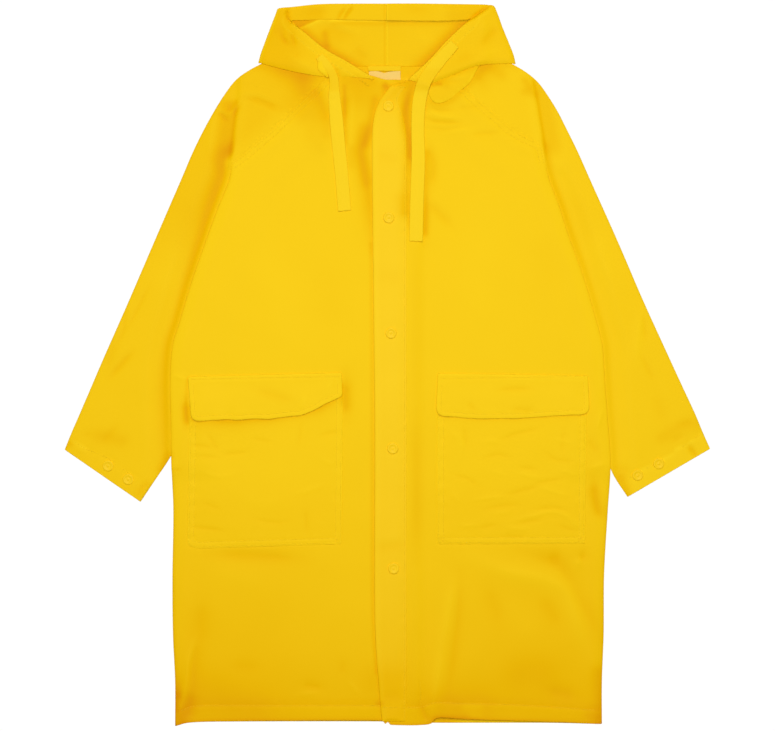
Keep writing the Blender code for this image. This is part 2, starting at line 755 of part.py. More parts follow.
def tie_level(line, across, side):
    """Height of a tape's underside: just above the highest cloth under each stretch of it."""
    hood = HOOD_OUTLINE[side]
    highest = []
    for place in (-1.2, -0.6, 0, 0.6, 1.2):
        points = line + across * place
        on_hood = inside(points, hood) | (distance(points, hood) < 5)
        cloth = np.where(on_hood, hood_top(points, side), panel_level(points)) + WALL
        highest.append(cloth)
    highest = np.max(highest, axis=0)
    padded = np.pad(highest, 1, mode="edge")
    return np.maximum(np.maximum(padded[:-2], padded[2:]), highest) + 2 * GAP


def make_tie(side):
    """A flat tape from its sewn end on the hood down to its free end."""
    rows = curve([tuple(row) for row in (TIE_RIGHT if side == "right" else TIE_LEFT)], 9.0)
    ahead = np.gradient(rows, axis=0)
    ahead /= np.linalg.norm(ahead, axis=1)[:, None]
    across = np.column_stack([ahead[:, 1], -ahead[:, 0]]) * TAPE_WIDTH / 2
    levels = tie_level(rows, across, side)
    points, faces = [], []
    for row, half, level in zip(rows, across, levels):
        points.extend([[*(row + half * place), level] for place in (-1, 0, 1)])
    for row in range(len(rows) - 1):
        for index in (0, 1):
            first = row * 3 + index
            faces.append([first, first + 1, first + 4, first + 3])
    made = add_object("tie_" + side, points, faces, TRIM)
    thicken(made, outwards=True)
    return made


def make_strip(name, strip, finish, level):
    """A plain flat piece inside the back neck."""
    corners = [(strip.left, strip.bottom), (strip.right, strip.bottom), (strip.right, strip.top), (strip.left, strip.top)]
    made = add_object(name, [[x, y, level] for x, y in corners], [[0, 1, 2, 3]], finish)
    thicken(made, outwards=True, thickness=STRIP_THICKNESS)
    return made


def make_snap(name, place, level):
    """A press snap's cap: a low turned button with a rim and a dished middle."""
    profile = [
        (0.0, 1.3),
        (2.2, 1.3),
        (3.2, CAP_HEIGHT - 0.1),
        (4.6, CAP_HEIGHT),
        (5.7, CAP_HEIGHT - 0.4),
        (CAP_RADIUS, 0.9),
        (CAP_RADIUS, 0.0),
        (0.0, 0.0),
    ]
    mesh = bpy.data.meshes.new(name)
    points = [(x * MM, 0, z * MM) for x, z in profile]
    mesh.from_pydata(points, [(index, index + 1) for index in range(len(points) - 1)], [])
    mesh.materials.append(TRIM)
    made = bpy.data.objects.new(name, mesh)
    PARTS.objects.link(made)
    turn = made.modifiers.new("turn", "SCREW")
    turn.steps = CAP_STEPS
    turn.render_steps = CAP_STEPS
    turn.use_merge_vertices = True
    turn.merge_threshold = 0.00001
    made.location = ((place[0] - CENTRE_X) * MM, (place[1] - CENTRE_HEIGHT) * MM, level * MM)
    return made


def make_snaps():
    for number, place in enumerate(PLACKET_SNAPS, 1):
        level = front_level(np.array([place], float), "left")[0]
        make_snap(f"placket_snap_{number}", place, level + OVER_FRONT + STEP)
    for side, places in CUFF_SNAPS.items():
        for number, place in enumerate(places, 1):
            level = sleeve_top(np.array([place], float), side)[0]
            make_snap(f"cuff_snap_{side}_{number}", place, level + GAP + 0.1)


clear_scene()
PARTS = bpy.data.collections.new("kids_raincoat")
bpy.context.scene.collection.children.link(PARTS)
CLOTH = material("coated_cloth", COAT_YELLOW, 0.45)
TRIM = material("coated_trim", TRIM_YELLOW, 0.4)
LABEL = material("label", LABEL_PEACH, 0.7)

BACK_OUTLINE = np.vstack([SIDE["left"], SIDE["right"][::-1]])
HOOD_OUTLINE = {"right": hood_outline(HOOD_RIGHT, HOOD_HEM_RIGHT), "left": hood_outline(HOOD_LEFT, HOOD_HEM_LEFT)}
make_back()
for wearer_side in ("right", "left"):
    make_front(wearer_side)
    make_sleeve(wearer_side)
    make_hood(wearer_side)
    make_pocket(wearer_side)
    make_flap(wearer_side)
    make_tie(wearer_side)
make_placket()
make_snaps()
make_strip("hanger_loop", HANGER_LOOP, TRIM, WALL + GAP)
make_strip("neck_label", NECK_LABEL, LABEL, WALL + GAP)
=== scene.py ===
"""The looks of a child's hooded raincoat with snaps, lying flat on its back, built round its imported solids.

Sides are the wearer's: the wearer's right is at -X. +Y runs up the coat towards the hood and +Z is up from
the floor, at z = 0. Tables are in millimetres, with heights measured up from the lowest point of the hem;
the meshes are in metres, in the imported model's frame.
"""

import math
from collections import namedtuple

import bpy
import numpy as np
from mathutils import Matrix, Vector
from mathutils.geometry import delaunay_2d_cdt


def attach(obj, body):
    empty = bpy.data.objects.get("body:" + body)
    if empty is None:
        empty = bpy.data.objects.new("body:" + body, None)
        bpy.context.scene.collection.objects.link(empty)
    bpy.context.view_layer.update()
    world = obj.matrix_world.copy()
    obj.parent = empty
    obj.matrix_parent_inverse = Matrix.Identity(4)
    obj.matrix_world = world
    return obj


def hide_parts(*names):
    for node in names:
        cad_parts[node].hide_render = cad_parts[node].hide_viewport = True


# The tables' unit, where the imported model's origin lies in them, and the two sides with their signs along X
MM = 0.001
CENTRE = (1.0, 404.7, 0.0)
SIDES = ("right", "left")
SIGN = {"right": -1, "left": 1}

# The solids' walls, the cloth shells, the step from one solid's layer to the next, the meshes' spacing and
# the strip along their edges, how far a doubled hem stands up and how far cloth sinks under a patch, mm
SOLID_WALL = 1.0
CLOTH = 0.8
STEP = 1.3
SPACING = 3.0
RIM = 0.4
HEM_RAISE = 0.22
UNDER_PATCH = 0.6

# Stitches, mm
STITCH_PITCH = 3.4
STITCH_LENGTH = 2.5
THREAD_RADIUS = 0.26

# Heights of the undersides above the floor, as in the solids, mm
FRONT_BASE = 3.2
FRONT_OVER_SLEEVE = 4.7
OVER_FRONT = STEP + 0.2
HOOD_BASE = 5.0
HOOD_OVER_NECK = 6.4
TUCK_TOP = 3.9

# How far in from its side a front rolls down, the width of the sleeve's tuck, and the underarm's height
SIDE_ROLL = 7.0
TUCK = 34.0
UNDERARM = 296.0

# The placket's stitched edge and the hidden edge of the front below it: x
PLACKET_EDGE = 22.0
UNDER_FRONT_EDGE = 28.0

# Half the gap of the hood's centre seam, the gap at the neck, a snap cap, the ties, and the flaps' rise
CENTRE_SEAM = 0.15
NECK_SEAM_GAP = 0.5
CAP_RADIUS = 6.2
CAP_HEIGHT = 2.1
TAPE_WIDTH = 15.0
FLAP_RISE = {"right": 1.3, "left": 0.9}

# The columns of the tables that several pieces use
POINT = "x height"
SEAM = "right_x right_height left_x left_height"
SLEEVE_SECTION = "outer_x outer_height inner_x inner_height"
HOOD_SECTION = "fold_x fold_height edge_x edge_height seam_height"
CORNER = "x height radius"
CREASE = "line half_width rise"
SHADE = "line half_width strength"


def table(columns, *rows):
    """A list of rows with named columns."""
    kind = namedtuple("Row", columns)
    return [kind(*row) for row in rows]


# The coat's sides, from the hem to the fold above the armpit: height, wearer's right, wearer's left
BODY = table(
    "height right left",
    (0, -237, 241.5), (50, -237, 241.5), (105, -239.5, 243.5), (170, -240, 244), (240, -239, 248),
    (290, -241, 251), (340, -241.5, 248), (385, -242.5, 244.5), (425, -240, 242), (450, -232.5, 236),
    (500, -217.5, 221.5), (550, -200, 203.5), (580, -189, 194), (612, -176, 182), (630, -174, 178),
)

# Raglan seams of both fronts and the back, from the armpit fold up to the neck
RAGLAN = table(
    SEAM,
    (-163, 638, 173, 650), (-146, 652, 156, 659.5), (-128, 667.5, 141.5, 667.5), (-111, 684, 120, 686),
    (-98, 697, 101, 702), (-85, 709, 89, 713), (-72, 722, 77, 724), (-64, 730, 70, 731),
)

# Neck seam, from the middle out to the hood's corner: the hood's lower layer meets back and sleeves there
NECK = table(POINT, (0, 739.3), (30, 739.0), (69, 740.6), (100, 742.6), (136, 744.6), (141, 744))

# Hem line, from the wearer's right to left: the fronts' lower edge and the back's
HEM = table(
    "x front back",
    (-237, 0.5, 0.0), (-216, 5.0, 4.5), (-150, 6.5, 5.5), (-8, 7.0, 5.5), (0, 2.5, 4.0), (46, 2.5, 4.0),
    (58, 10.0, 4.0), (96, 8.0, 4.0), (184, 5.5, 4.0), (241, 3.0, 2.5),
)

# Free edge of the over front, which carries the placket, and the placket's stitched edge
PLACKET = table(
    "height edge stitch",
    (3, -4.5, PLACKET_EDGE), (40, -8, PLACKET_EDGE), (130, -13, PLACKET_EDGE), (330, -13, PLACKET_EDGE),
    (530, -15, PLACKET_EDGE), (650, -16, PLACKET_EDGE), (680, -14, 19), (697, -9, 13), (707, -2.5, 15),
    (718, 6, 24),
)

# Sleeve sections, each a line across the flattened tube from the outer fold to the tucked inner fold
SLEEVE = {
    "right": table(
        SLEEVE_SECTION,
        (-137, 743, -62, 738.8), (-154, 734, -72, 710), (-168.5, 723.5, -87, 694), (-180, 709, -105, 676),
        (-192, 690, -124, 658.5), (-204.5, 667.5, -139.5, 643), (-217, 642, -153, 614),
        (-230, 611.5, -163.5, 580), (-259, 544.5, -187, 506), (-288, 477, -209, 434.5),
        (-317.5, 410, -221, 363), (-331, 378.5, -227, 329), (-343, 350.5, -242, 301),
        (-353, 327.5, -259, 275.5), (-360, 310, -275, 251.5),
    ),
    "left": table(
        SLEEVE_SECTION,
        (137.5, 743, 64, 738.8), (154, 733.5, 77, 709), (168, 722.5, 93, 693), (178.5, 709, 111, 677.5),
        (191, 689, 131, 661), (202, 667.5, 146, 640), (214.5, 642, 160, 610), (228, 611.5, 172, 576),
        (258, 544.5, 197.5, 506), (287, 477, 219, 434.5), (317.5, 410, 228, 363), (332, 378.5, 232, 329),
        (345, 350.5, 245, 303), (354, 329, 254, 281), (362, 311, 269.5, 257),
    ),
}

# Painted shade in the hollow between each sleeve and the body, from the cuff up: how dark, how far out and
# how wide
VALLEY = table(
    "height right right_place right_width left left_place left_width",
    (300, 0.45, 5.0, 7.0, 0.20, 4.0, 5.5), (365, 0.56, 5.5, 8.5, 0.20, 4.0, 5.5),
    (443, 0.62, 5.0, 5.0, 0.20, 3.8, 5.5), (500, 0.75, 5.5, 5.5, 0.30, 3.3, 5.0),
    (545, 0.88, 6.5, 7.0, 0.42, 3.0, 5.0), (589, 1.00, 8.0, 9.0, 0.50, 3.0, 5.0),
    (634, 1.10, 10.0, 11.0, 0.50, 3.2, 5.0),
)

# Painted shade by height: darker towards the hem, where less light falls, and a little at the neck
PAINTED_HEM_SHADE = table(
    "height tone",
    (0, -0.8), (40, -0.6), (85, -0.42), (141, -0.28), (199, -0.2), (300, -0.1), (420, 0), (660, 0),
    (700, -0.08),
)

# The fold that crosses each sleeve at the shoulder: the arm comes out below it
SHOULDER_FOLD = table(
    SEAM,
    (-164, 712, 158, 735), (-165, 698, 163.5, 714.5), (-169, 664, 169.5, 682), (-174, 630, 175, 648),
)

# Hood sections, from the bottom corner round to the top centre: the fold, the opening's edge in the
# upper layer, and where the section meets the centre seam in the lower layer
HOOD = {
    "right": table(
        HOOD_SECTION,
        (-143.5, 742.5, -14, 724, 739.5), (-141, 752, -24, 731, 746), (-136, 766, -48, 745.5, 754),
        (-130, 782, -69, 757.5, 763), (-124, 797.5, -90, 774.5, 771), (-122, 802.8, -106.5, 788.5, 776),
        (-117, 804.2, -101, 790, 779.5), (-104, 805.5, -93, 790.2, 783), (-74, 808.5, -69, 791, 790),
        (-35, 809, -34, 790.5, 797), (-CENTRE_SEAM, 809, -CENTRE_SEAM, 790, 803),
    ),
    "left": table(
        HOOD_SECTION,
        (144.5, 741.5, 24.8, 723.2, 739.5), (142, 752, 36.4, 734, 746), (136.5, 766, 51.7, 749, 754),
        (130, 782, 65, 764, 763), (124, 798.5, 80.5, 779, 771), (120.2, 806.2, 94, 791.5, 776),
        (114.5, 807.5, 91.5, 791, 779.5), (106, 808, 88, 790.5, 783), (74, 808.5, 68, 789.5, 790),
        (35, 809, 34, 789.5, 797), (CENTRE_SEAM, 809, CENTRE_SEAM, 790, 803),
    ),
}
# The line at which each end of the strip above the opening goes under the panel beside it
BAND_END = {"right": ((-107, 785), (-111, 803)), "left": ((89, 787), (117, 807))}
# The hollow in the opening's corner on the wearer's right, painted dark, above a ridge of the lower layer
# with a painted highlight
HOOD_HOLLOW = [(-109, 791.5), (-98.5, 780.5), (-89, 784.7), (-81.3, 788), (-73.5, 791.5)]
# Bottom edge of each hood half's upper layer, from its outer corner to the opening: on the left, the crease
HOOD_HEM = {
    "right": table(
        POINT,
        (-143.5, 742.5), (-119, 736), (-97, 731), (-72, 727), (-54, 727.5), (-14, 724),
    ),
    "left": table(
        POINT,
        (144.5, 741.5), (122, 741), (108, 740), (92, 736), (74, 728.5), (58, 721.5), (48, 719), (36, 720),
        (24.8, 723.2),
    ),
}
# The crease where the wearer's left hood half turns over on itself above the neck seam
HOOD_CREASE = table(POINT, (112, 741.5), (96, 737), (74, 729), (50, 719))
# The roll of cloth that shows under that crease: its outline, its small folds and the painted shade at its
# top
HOOD_ROLL = table(
    POINT,
    (108, 743), (102.5, 737), (93.5, 720.7), (82.3, 710.8), (72.2, 702.2), (61, 697.2), (53.5, 698),
    (49, 703), (46, 712), (46, 722), (72, 733), (95, 741),
)
ROLL_FOLDS = table(
    CREASE,
    ([(58, 716), (76, 717)], 2.4, 0.3), ([(67, 720.3), (83, 721.6)], 2.4, -0.3),
    ([(76, 724.6), (90, 726.2)], 2.4, 0.3),
)
ROLL_SHADES = table(SHADE, ([(47, 718.5), (61, 718)], 1.7, 0.8), ([(58, 721), (67, 718)], 4.5, 0.35))

# Painted highlight and shade lines along the hood's centre seam: place, half the width and how light,
# negative for painted shade
HOOD_SEAM_PAINTED_LIGHT = [(0.3, 0.9, 0.4), (-1.8, 1.1, -0.35), (3.2, 0.9, -0.08)]

# Pockets and flaps: the corners of their outlines, each with its own radius
POCKET = {
    "right": table(
        CORNER,
        (-219.5, 384, 2), (-223, 203, 4), (-212, 199, 6), (-50, 204, 2), (-48.5, 384, 2),
    ),
    "left": table(CORNER, (57, 384, 2), (56.5, 204, 2), (222, 204.5, 2), (224, 384, 2)),
}
FLAP = {
    "right": table(
        CORNER,
        (-221.8, 391, 1), (-218, 341.8, 8), (-118, 345, 14), (-94, 348.5, 10), (-49.5, 369.5, 3),
        (-50.3, 395.4, 1),
    ),
    "left": table(
        CORNER,
        (57.6, 394.8, 1), (55.5, 347.5, 10), (118, 343.5, 30), (226.5, 349.5, 9), (224.8, 392.2, 1),
    ),
}
# Tie tapes, from the sewn end on the hood to the free end
TIE = {
    "right": table(
        POINT,
        (-75, 749), (-66, 738), (-59, 725), (-58, 702), (-54, 655), (-50, 615), (-47, 577),
    ),
    "left": table(
        POINT,
        (76, 763), (58, 743), (43, 722), (37.2, 702), (35.2, 682), (34.9, 662), (35.5, 634), (34, 590),
        (33, 543),
    ),
}
# Outline of the fold of the hood's hem that the right tie pulls up beside its sewn end
TIE_FOLD = table(
    POINT,
    (-74.5, 747.5), (-70.5, 747), (-68, 739), (-64.5, 729), (-66, 726), (-72, 730), (-76.3, 734.7),
    (-76.7, 740.5),
)

# The waves of each flap's free edge
FLAP_WAVE = {
    "right": table(
        "x rise",
        (-225, 0.2), (-205, -0.1), (-181, 0.6), (-164, -0.5), (-150, 0.5), (-134, -0.4), (-111, 0.6),
        (-96, -0.3), (-80, -0.5), (-68, 0.4), (-48, 0.0),
    ),
    "left": table(
        "x rise",
        (40, 0.0), (72, 0.3), (95, -0.2), (128, 0.25), (150, -0.25), (188, 0.3), (235, 0.0),
    ),
}

# The painted shadow under each flap's free edge: where, how dark and how far down it reaches, mm
FLAP_SHADOW = {
    "right": table(
        "x strength reach",
        (-222, 0.7, 6.0), (-200, 0.8, 6.0), (-181, 1.5, 5.0), (-164, 1.3, 5.0), (-142, 1.1, 4.2),
        (-108, 0.8, 3.2), (-88, 0.8, 3.2), (-71, 1.4, 4.0), (-54, 0.7, 5.0), (-51, 1.1, 8.0),
    ),
    "left": table("x strength reach", (50, 0.5, 2.0), (230, 0.5, 2.0)),
}

# The fronts' neck edges, from the opening outwards
FRONT_NECK = {
    "right": [(26, 722), (12, 723.2), (-2, 723.5), (-14, 727), (-32, 731), (-56, 732)],
    "left": [(7, 718), (22, 720.5), (42, 727), (62, 731)],
}

# The snaps' centres, how deep the placket's are sunk, and a cap's profile from its top: radius and height
PLACKET_SNAPS = [(2, 694), (2.5, 569), (5, 440), (7, 311), (8, 177)]
SNAP_SUNK = [1.7, 1.4, 1.6, 1.55, 1.35]
CUFF_SNAPS = {"right": [(-311.5, 291.5), (-289, 276.5)], "left": [(304.5, 294), (281, 281)]}
CAP_PROFILE = [
    (0.0, 1.92), (0.9, 1.88), (1.3, 1.62), (1.9, 1.52), (2.8, 1.55), (3.5, 1.74), (4.1, 1.98),
    (4.7, CAP_HEIGHT), (5.2, 2.06), (5.75, 1.92), (6.1, 1.6), (CAP_RADIUS, 1.2), (CAP_RADIUS, 0.25),
    (6.0, 0.0), (0.0, 0.0),
]

# The hanger loop inside the back neck, by its left, right, top and bottom, and the label's two edges
HANGER_LOOP = (-20.5, 16, 739, 733.5)
LABEL_TOP = [(-19.5, 732.8), (-12, 733.2), (-7, 732.4), (-2.8, 731), (2, 732.2), (8, 733), (15.5, 733.2)]
LABEL_BOTTOM = [(-19.5, 716), (-8, 716), (4, 716), (15.5, 716)]

# Stitched lines, and how far in from the raglan seams and the hood's opening their rows of stitches lie, mm
RAGLAN_ROWS = (2.0, 7.0)
HOOD_ROWS = (2.0, 9.5)
FLAP_TOP_STITCH = {"right": 391.5, "left": 392.0}
BACK_HEM_STITCH = [(-232, 22.5), (0, 22.5), (234, 21)]
HEM_STITCH = {
    "right": [(-230, 17.5), (-226.8, 19), (-206.6, 23.5), (-120, 23.5), (-20.7, 23.5), (20, 22)],
    "left": [(23, 22), (40, 22), (55.4, 26.9), (90, 25.4), (137.2, 24.6), (193.2, 21.3), (232, 18.6)],
}
PLACKET_HEM_STITCH = [(-4, 21.8), (19, 21.8)]
PLACKET_END_STITCH = [(37.5, 50.4), (38.6, 24)]
CUFF_STITCH = {
    "right": [(-354, 323), (-337.7, 311.4), (-305, 296.2), (-268, 264.3)],
    "left": [(263.3, 273.3), (314.2, 302.4), (337.1, 317.5), (351.1, 327)],
}

# Creases: the line that each follows, half its width, and its rise, negative for a trough, mm
UNDER_FREE_EDGE = [(-12.5, 702), (-16, 685), (-19, 668), (-22, 660), (-25, 652)]
FRONT_CREASES = table(
    CREASE,
    ([*UNDER_FREE_EDGE, (-28, 643), (-25, 620), (-21, 589), (-18, 540)], 8.5, -1.35),
    ([(-86, 722), (-75, 702), (-64, 674)], 7, -1.2), ([(-46, 708), (-47, 676)], 4.5, -1.1),
    ([(-36.4, 706.7), (-39.8, 655)], 5, 0.6), ([(-82, 660), (-64, 646)], 7, 0.35),
    ([(-200, 192.6), (-150, 191), (-92, 187)], 8, -0.7), ([(-199, 170), (-165, 166), (-133, 157)], 14, 0.4),
    ([(-205.5, 140), (-211, 88)], 10, -0.5), ([(-174, 69), (-141, 65)], 8, -0.3),
    ([(-94, 47.3), (-71, 43.2)], 5, -0.4), ([(-96, 35.4), (-77, 37.8)], 3, 0.3),
    ([(-50, 75), (-49, 57)], 5, -0.3), ([(-15, 134), (-12.9, 34)], 3, 0.5),
    ([(-42, 51), (-31, 35)], 3, 0.35), ([(-45.5, 394), (-44.5, 344)], 6.5, -1.1),
    ([(-225, 366), (-224, 334)], 4.5, -1.3), ([(-234.6, 290), (-234.6, 284)], 4, -0.6),
    ([(-241, 394), (-222, 387)], 2.5, 0.5),
    ([(-212, 104), (-221.6, 72.8), (-224.6, 43.7), (-236, 2)], 3.8, 0.8),
    ([(-214, 99), (-218, 40)], 7, -0.6), ([(-218, 40), (-223, 6)], 8, -1.3),
    ([(-234, 56), (-232, 20)], 4, -1.0), ([(-150, 560), (-118, 470), (-112, 400)], 24, 0.3),
    ([(-60, 520), (-66, 440)], 20, -0.12), ([(21, 716), (25, 670), (29, 608)], 6.5, -1.7),
    ([(26, 610), (25, 550)], 5, -0.9), ([(45, 654), (52, 628), (49, 600)], 5, -0.9),
    ([(46, 590), (43, 538)], 4, -0.8), ([(42.6, 681), (55.4, 676.5), (84, 675.4)], 2.4, -0.75),
    ([(44, 687), (62, 682), (83, 681)], 2.4, 0.4), ([(46, 693), (60, 689), (76, 690)], 2.2, -0.5),
    ([(44, 670), (66, 668), (92, 672)], 2.4, -0.35), ([(79, 692), (104, 693)], 3, -0.3),
    ([(94, 662), (126, 664.2)], 3, -0.4), ([(70, 665.5), (97, 667)], 4, 0.3),
    ([(45, 588), (75, 558)], 5.5, -0.6), ([(32, 566), (34, 450), (33, 330)], 8, -0.3),
    ([(33, 350), (34, 260), (33, 185)], 7, -0.65), ([(75, 162), (63, 92)], 7, 0.9),
    ([(63, 96), (56, 50), (48, 1)], 7, 1.1), ([(83, 174), (80, 120), (69, 34)], 6, -0.6),
    ([(93, 190), (135, 173.6), (174, 165.8), (199, 154), (209, 131), (219, 99.7), (231, 72)], 11, 1.2),
    ([(150, 196), (190, 183), (203, 165.8), (222, 131), (239, 96)], 9, -0.7),
    ([(181, 189), (196, 189)], 8, -0.6), ([(215, 191), (224, 190)], 6, -0.7),
    ([(211, 183.5), (219, 182.5)], 5, 0.5), ([(112, 157), (130, 112)], 10, -0.4),
    ([(134, 143), (167, 94)], 14, 0.35), ([(172, 146), (196, 112)], 9, -0.5),
    ([(178, 41.5), (213, 33)], 8, -0.6), ([(39, 24), (46, 5)], 3.5, -0.7),
    ([(232, 278), (235.8, 242), (248, 234)], 5, -0.9), ([(226, 288.5), (250, 296)], 3, 0.4),
    ([(225, 322), (237, 305.5)], 4, -0.4), ([(243.5, 361), (235, 332)], 3, 0.5),
    ([(120, 610), (104, 520), (112, 430)], 26, 0.3), ([(170, 560), (186, 470)], 20, -0.12),
)
BACK_CREASES = table(
    CREASE,
    ([(-190, 520), (-120, 470), (-90, 380)], 14, 1.2), ([(150, 300), (60, 240), (20, 130)], 16, 1.1),
    ([(-60, 200), (-170, 120)], 12, 1.0), ([(90, 640), (30, 560)], 12, 0.9),
)
PLACKET_CREASES = table(
    CREASE,
    ([(-14, 198), (22, 203)], 8, -0.3), ([(-14, 211), (22, 213)], 5, 0.25),
    ([(-10, 33), (20, 34)], 8, -0.35), ([(-12, 505), (20, 500)], 9, -0.2),
    ([(-12, 382), (20, 388)], 10, 0.2), ([(-12, 640), (14, 632)], 8, -0.25),
)
SLEEVE_CREASES = {
    "right": table(
        CREASE,
        ([(-158, 705), (-139, 699), (-119, 689.5)], 2.8, -1.3),
        ([(-170, 706), (-149, 706), (-126, 696.5)], 4, 0.55), ([(-189, 691.6), (-175, 681.8)], 2.4, 0.9),
        ([(-176.5, 681.5), (-166.5, 699)], 2.4, 1.0), ([(-174, 695), (-174.5, 686)], 3, -0.9),
        ([(-188, 687), (-177, 677.5)], 2.6, -0.9), ([(-171.5, 683), (-164.5, 695)], 2.4, -0.8),
        ([(-190, 687), (-196, 664), (-198, 640)], 4, 0.5), ([(-265, 493), (-290, 444)], 2.2, -0.45),
        ([(-291.8, 469), (-293.4, 445.8), (-300.5, 427)], 2.2, -0.5),
        ([(-284, 419), (-310, 390)], 3.5, -0.8), ([(-304.5, 430), (-312.5, 400)], 5, -0.4),
        ([(-301, 337), (-319, 318)], 4, -0.4), ([(-335, 330), (-336, 324)], 5, -0.35),
        ([(-346, 315), (-338, 308)], 2.5, 0.5), ([(-214, 590), (-236, 520)], 10, -0.2),
        ([(-236, 545), (-252, 480)], 12, 0.4), ([(-205, 640), (-186, 600)], 9, 0.35),
    ),
    "left": table(
        CREASE,
        ([(285, 464), (280.6, 435), (279, 408)], 5, 0.5), ([(288, 461), (289.6, 432)], 3, -0.45),
        ([(285, 415), (300, 386)], 3, -0.4), ([(327, 337.5), (344, 342)], 4, -0.4),
        ([(317, 319), (334, 326.5)], 3, -0.5), ([(254, 290.5), (273, 286.3)], 3, -0.45),
        ([(337, 314.5), (348, 300.5)], 2.7, -1.4), ([(208, 600), (232, 530)], 10, -0.2),
        ([(236, 556), (250, 494)], 12, 0.4), ([(196, 640), (182, 604)], 9, 0.35),
        ([(300, 372), (312, 340)], 8, -0.3),
    ),
}
HOOD_CREASES = {
    "right": table(
        CREASE,
        ([(-112, 751), (-98, 744), (-82, 736)], 5, 0.75),
        ([(-57, 736.5), (-54.5, 731), (-52, 726)], 2.0, -0.8), ([(-116, 769), (-107, 762)], 3, -0.5),
        ([(-104, 751.5), (-98, 748.5)], 3.5, -0.4), ([(-42, 806), (-46.5, 799), (-52.5, 789)], 1.6, 0.5),
        ([(-37, 807), (-43, 799), (-49.5, 788.5)], 1.9, -1.6),
        ([(-45.5, 805), (-50, 799), (-55.5, 789)], 1.9, -1.3),
        ([(-118.5, 776), (-116, 770), (-112, 763)], 2.4, -0.7),
        ([(-105.5, 777), (-104.5, 769), (-102, 760)], 2.4, -0.8), ([(-128, 775), (-112, 781)], 6, -0.4),
        ([(-92, 797), (-70, 800)], 6, -0.35), ([(-108, 788), (-111, 795), (-110, 802)], 2.4, -1.4),
    ),
    "left": table(
        CREASE,
        ([(126, 782.5), (115, 772), (105, 760.5)], 5, -0.6), ([(112, 790), (104, 777)], 5, 0.4),
        ([(128, 757), (106, 751)], 5, 0.45), ([(96, 752), (78, 742)], 6, -0.35),
        ([(20, 804), (48, 800)], 6, -0.35), ([(62, 799), (84, 800)], 5, 0.3),
        ([(89, 787), (99, 794.5), (117, 807)], 2.3, -1.7),
        ([(92, 784), (103, 791.5), (120, 802)], 3.2, 0.5),
    ),
}
POCKET_CREASES = {
    "right": table(
        CREASE,
        ([(-218.5, 315), (-194, 312.3)], 2.8, -0.4), ([(-200, 327.5), (-187, 307)], 2.8, -0.35),
        ([(-184, 304.3), (-154.5, 307.2)], 2.6, -0.35), ([(-211, 303), (-188, 300.5)], 2.4, -0.3),
        ([(-220, 223.3), (-182, 219.3)], 2.6, -0.4), ([(-90.8, 243), (-88.8, 215)], 2.4, -0.35),
        ([(-69, 270.7), (-100, 259.3)], 2.8, 0.3), ([(-96.2, 340), (-98.5, 314)], 2.4, -0.25),
        ([(-75, 325.6), (-54, 330.2)], 2.8, -0.3), ([(-168, 262), (-140, 250), (-112, 252)], 12, 0.4),
        ([(-210, 286), (-188, 280), (-170, 283)], 2.6, 0.25), ([(-150, 322), (-128, 318)], 2.6, -0.25),
        ([(-206, 250), (-186, 243)], 2.8, -0.25), ([(-150, 232), (-124, 228), (-108, 230)], 2.8, -0.25),
        ([(-72, 300), (-58, 290)], 2.6, 0.25),
    ),
    "left": table(
        CREASE,
        ([(126, 320), (144, 327), (163.9, 331.5), (173, 336)], 2.6, -0.35),
        ([(106, 319), (128, 319)], 2.4, 0.3), ([(198, 333), (195.8, 305)], 2.6, -0.3),
        ([(86.5, 337), (90.3, 311)], 2.6, -0.3), ([(148, 290.2), (169, 287.6)], 2.4, -0.3),
        ([(146, 283.5), (172.5, 277.3)], 2.4, 0.35), ([(165.5, 271.7), (198, 277.2)], 2.6, -0.35),
        ([(171, 267.5), (205, 257.4)], 2.6, 0.35), ([(135, 259.2), (173, 269.3)], 2.6, -0.35),
        ([(96, 252.8), (115.5, 256), (135, 257.1)], 2.6, 0.35),
        ([(165.5, 242.8), (183, 244.6), (203, 241.8)], 2.4, -0.3),
        ([(142, 230.5), (167.4, 236.5), (187, 240), (205, 233), (219, 219)], 2.6, 0.4),
        ([(146, 227.4), (174.5, 231.3)], 2.6, -0.35), ([(135, 222.2), (160.5, 220.5)], 2.4, 0.3),
        ([(103, 221.7), (124.5, 226)], 2.4, -0.3), ([(192, 224.6), (214, 218)], 2.4, -0.3),
        ([(83.5, 223.8), (102.5, 226)], 2.4, 0.3), ([(128, 213.1), (156.5, 211.9)], 2.4, -0.3),
        ([(70, 330), (82, 322), (84, 306)], 2.6, 0.3), ([(108, 300), (126, 304), (140, 300)], 2.8, -0.3),
        ([(116, 286), (134, 281)], 2.4, 0.25), ([(176, 308), (190, 298), (212, 296)], 2.6, -0.3),
        ([(186, 322), (210, 316)], 2.4, 0.25), ([(74, 282), (92, 276), (104, 268)], 2.8, -0.3),
        ([(72, 262), (84, 250)], 2.4, 0.25), ([(110, 243), (132, 247), (150, 248)], 2.6, -0.3),
        ([(192, 288), (216, 280)], 2.6, 0.25), ([(120, 238), (140, 240)], 2.2, 0.25),
    ),
}
FLAP_CREASES = {
    "right": table(
        CREASE,
        ([(-148, 377), (-103, 364.2)], 6, -0.45), ([(-96, 366), (-89, 364)], 6, 0.5),
        ([(-67, 383), (-59, 381)], 7, 0.4),
    ),
    "left": table(
        CREASE,
        ([(124, 377), (164, 378)], 3.2, -0.5), ([(139, 355.2), (165.5, 352.8)], 4, -0.4),
        ([(91, 363), (100, 352)], 3.2, -0.35),
    ),
}
INSIDE_CREASES = table(
    CREASE,
    ([(-98, 780), (-77, 790), (-62, 788.5), (-33, 777.6)], 4.5, 0.8),
    ([(-73, 786), (-50, 777), (-30, 771)], 6, -0.35), ([(30, 774), (52, 766), (66, 768)], 6, 0.4),
    ([(-36, 762), (-22, 745)], 6, -0.5),
)
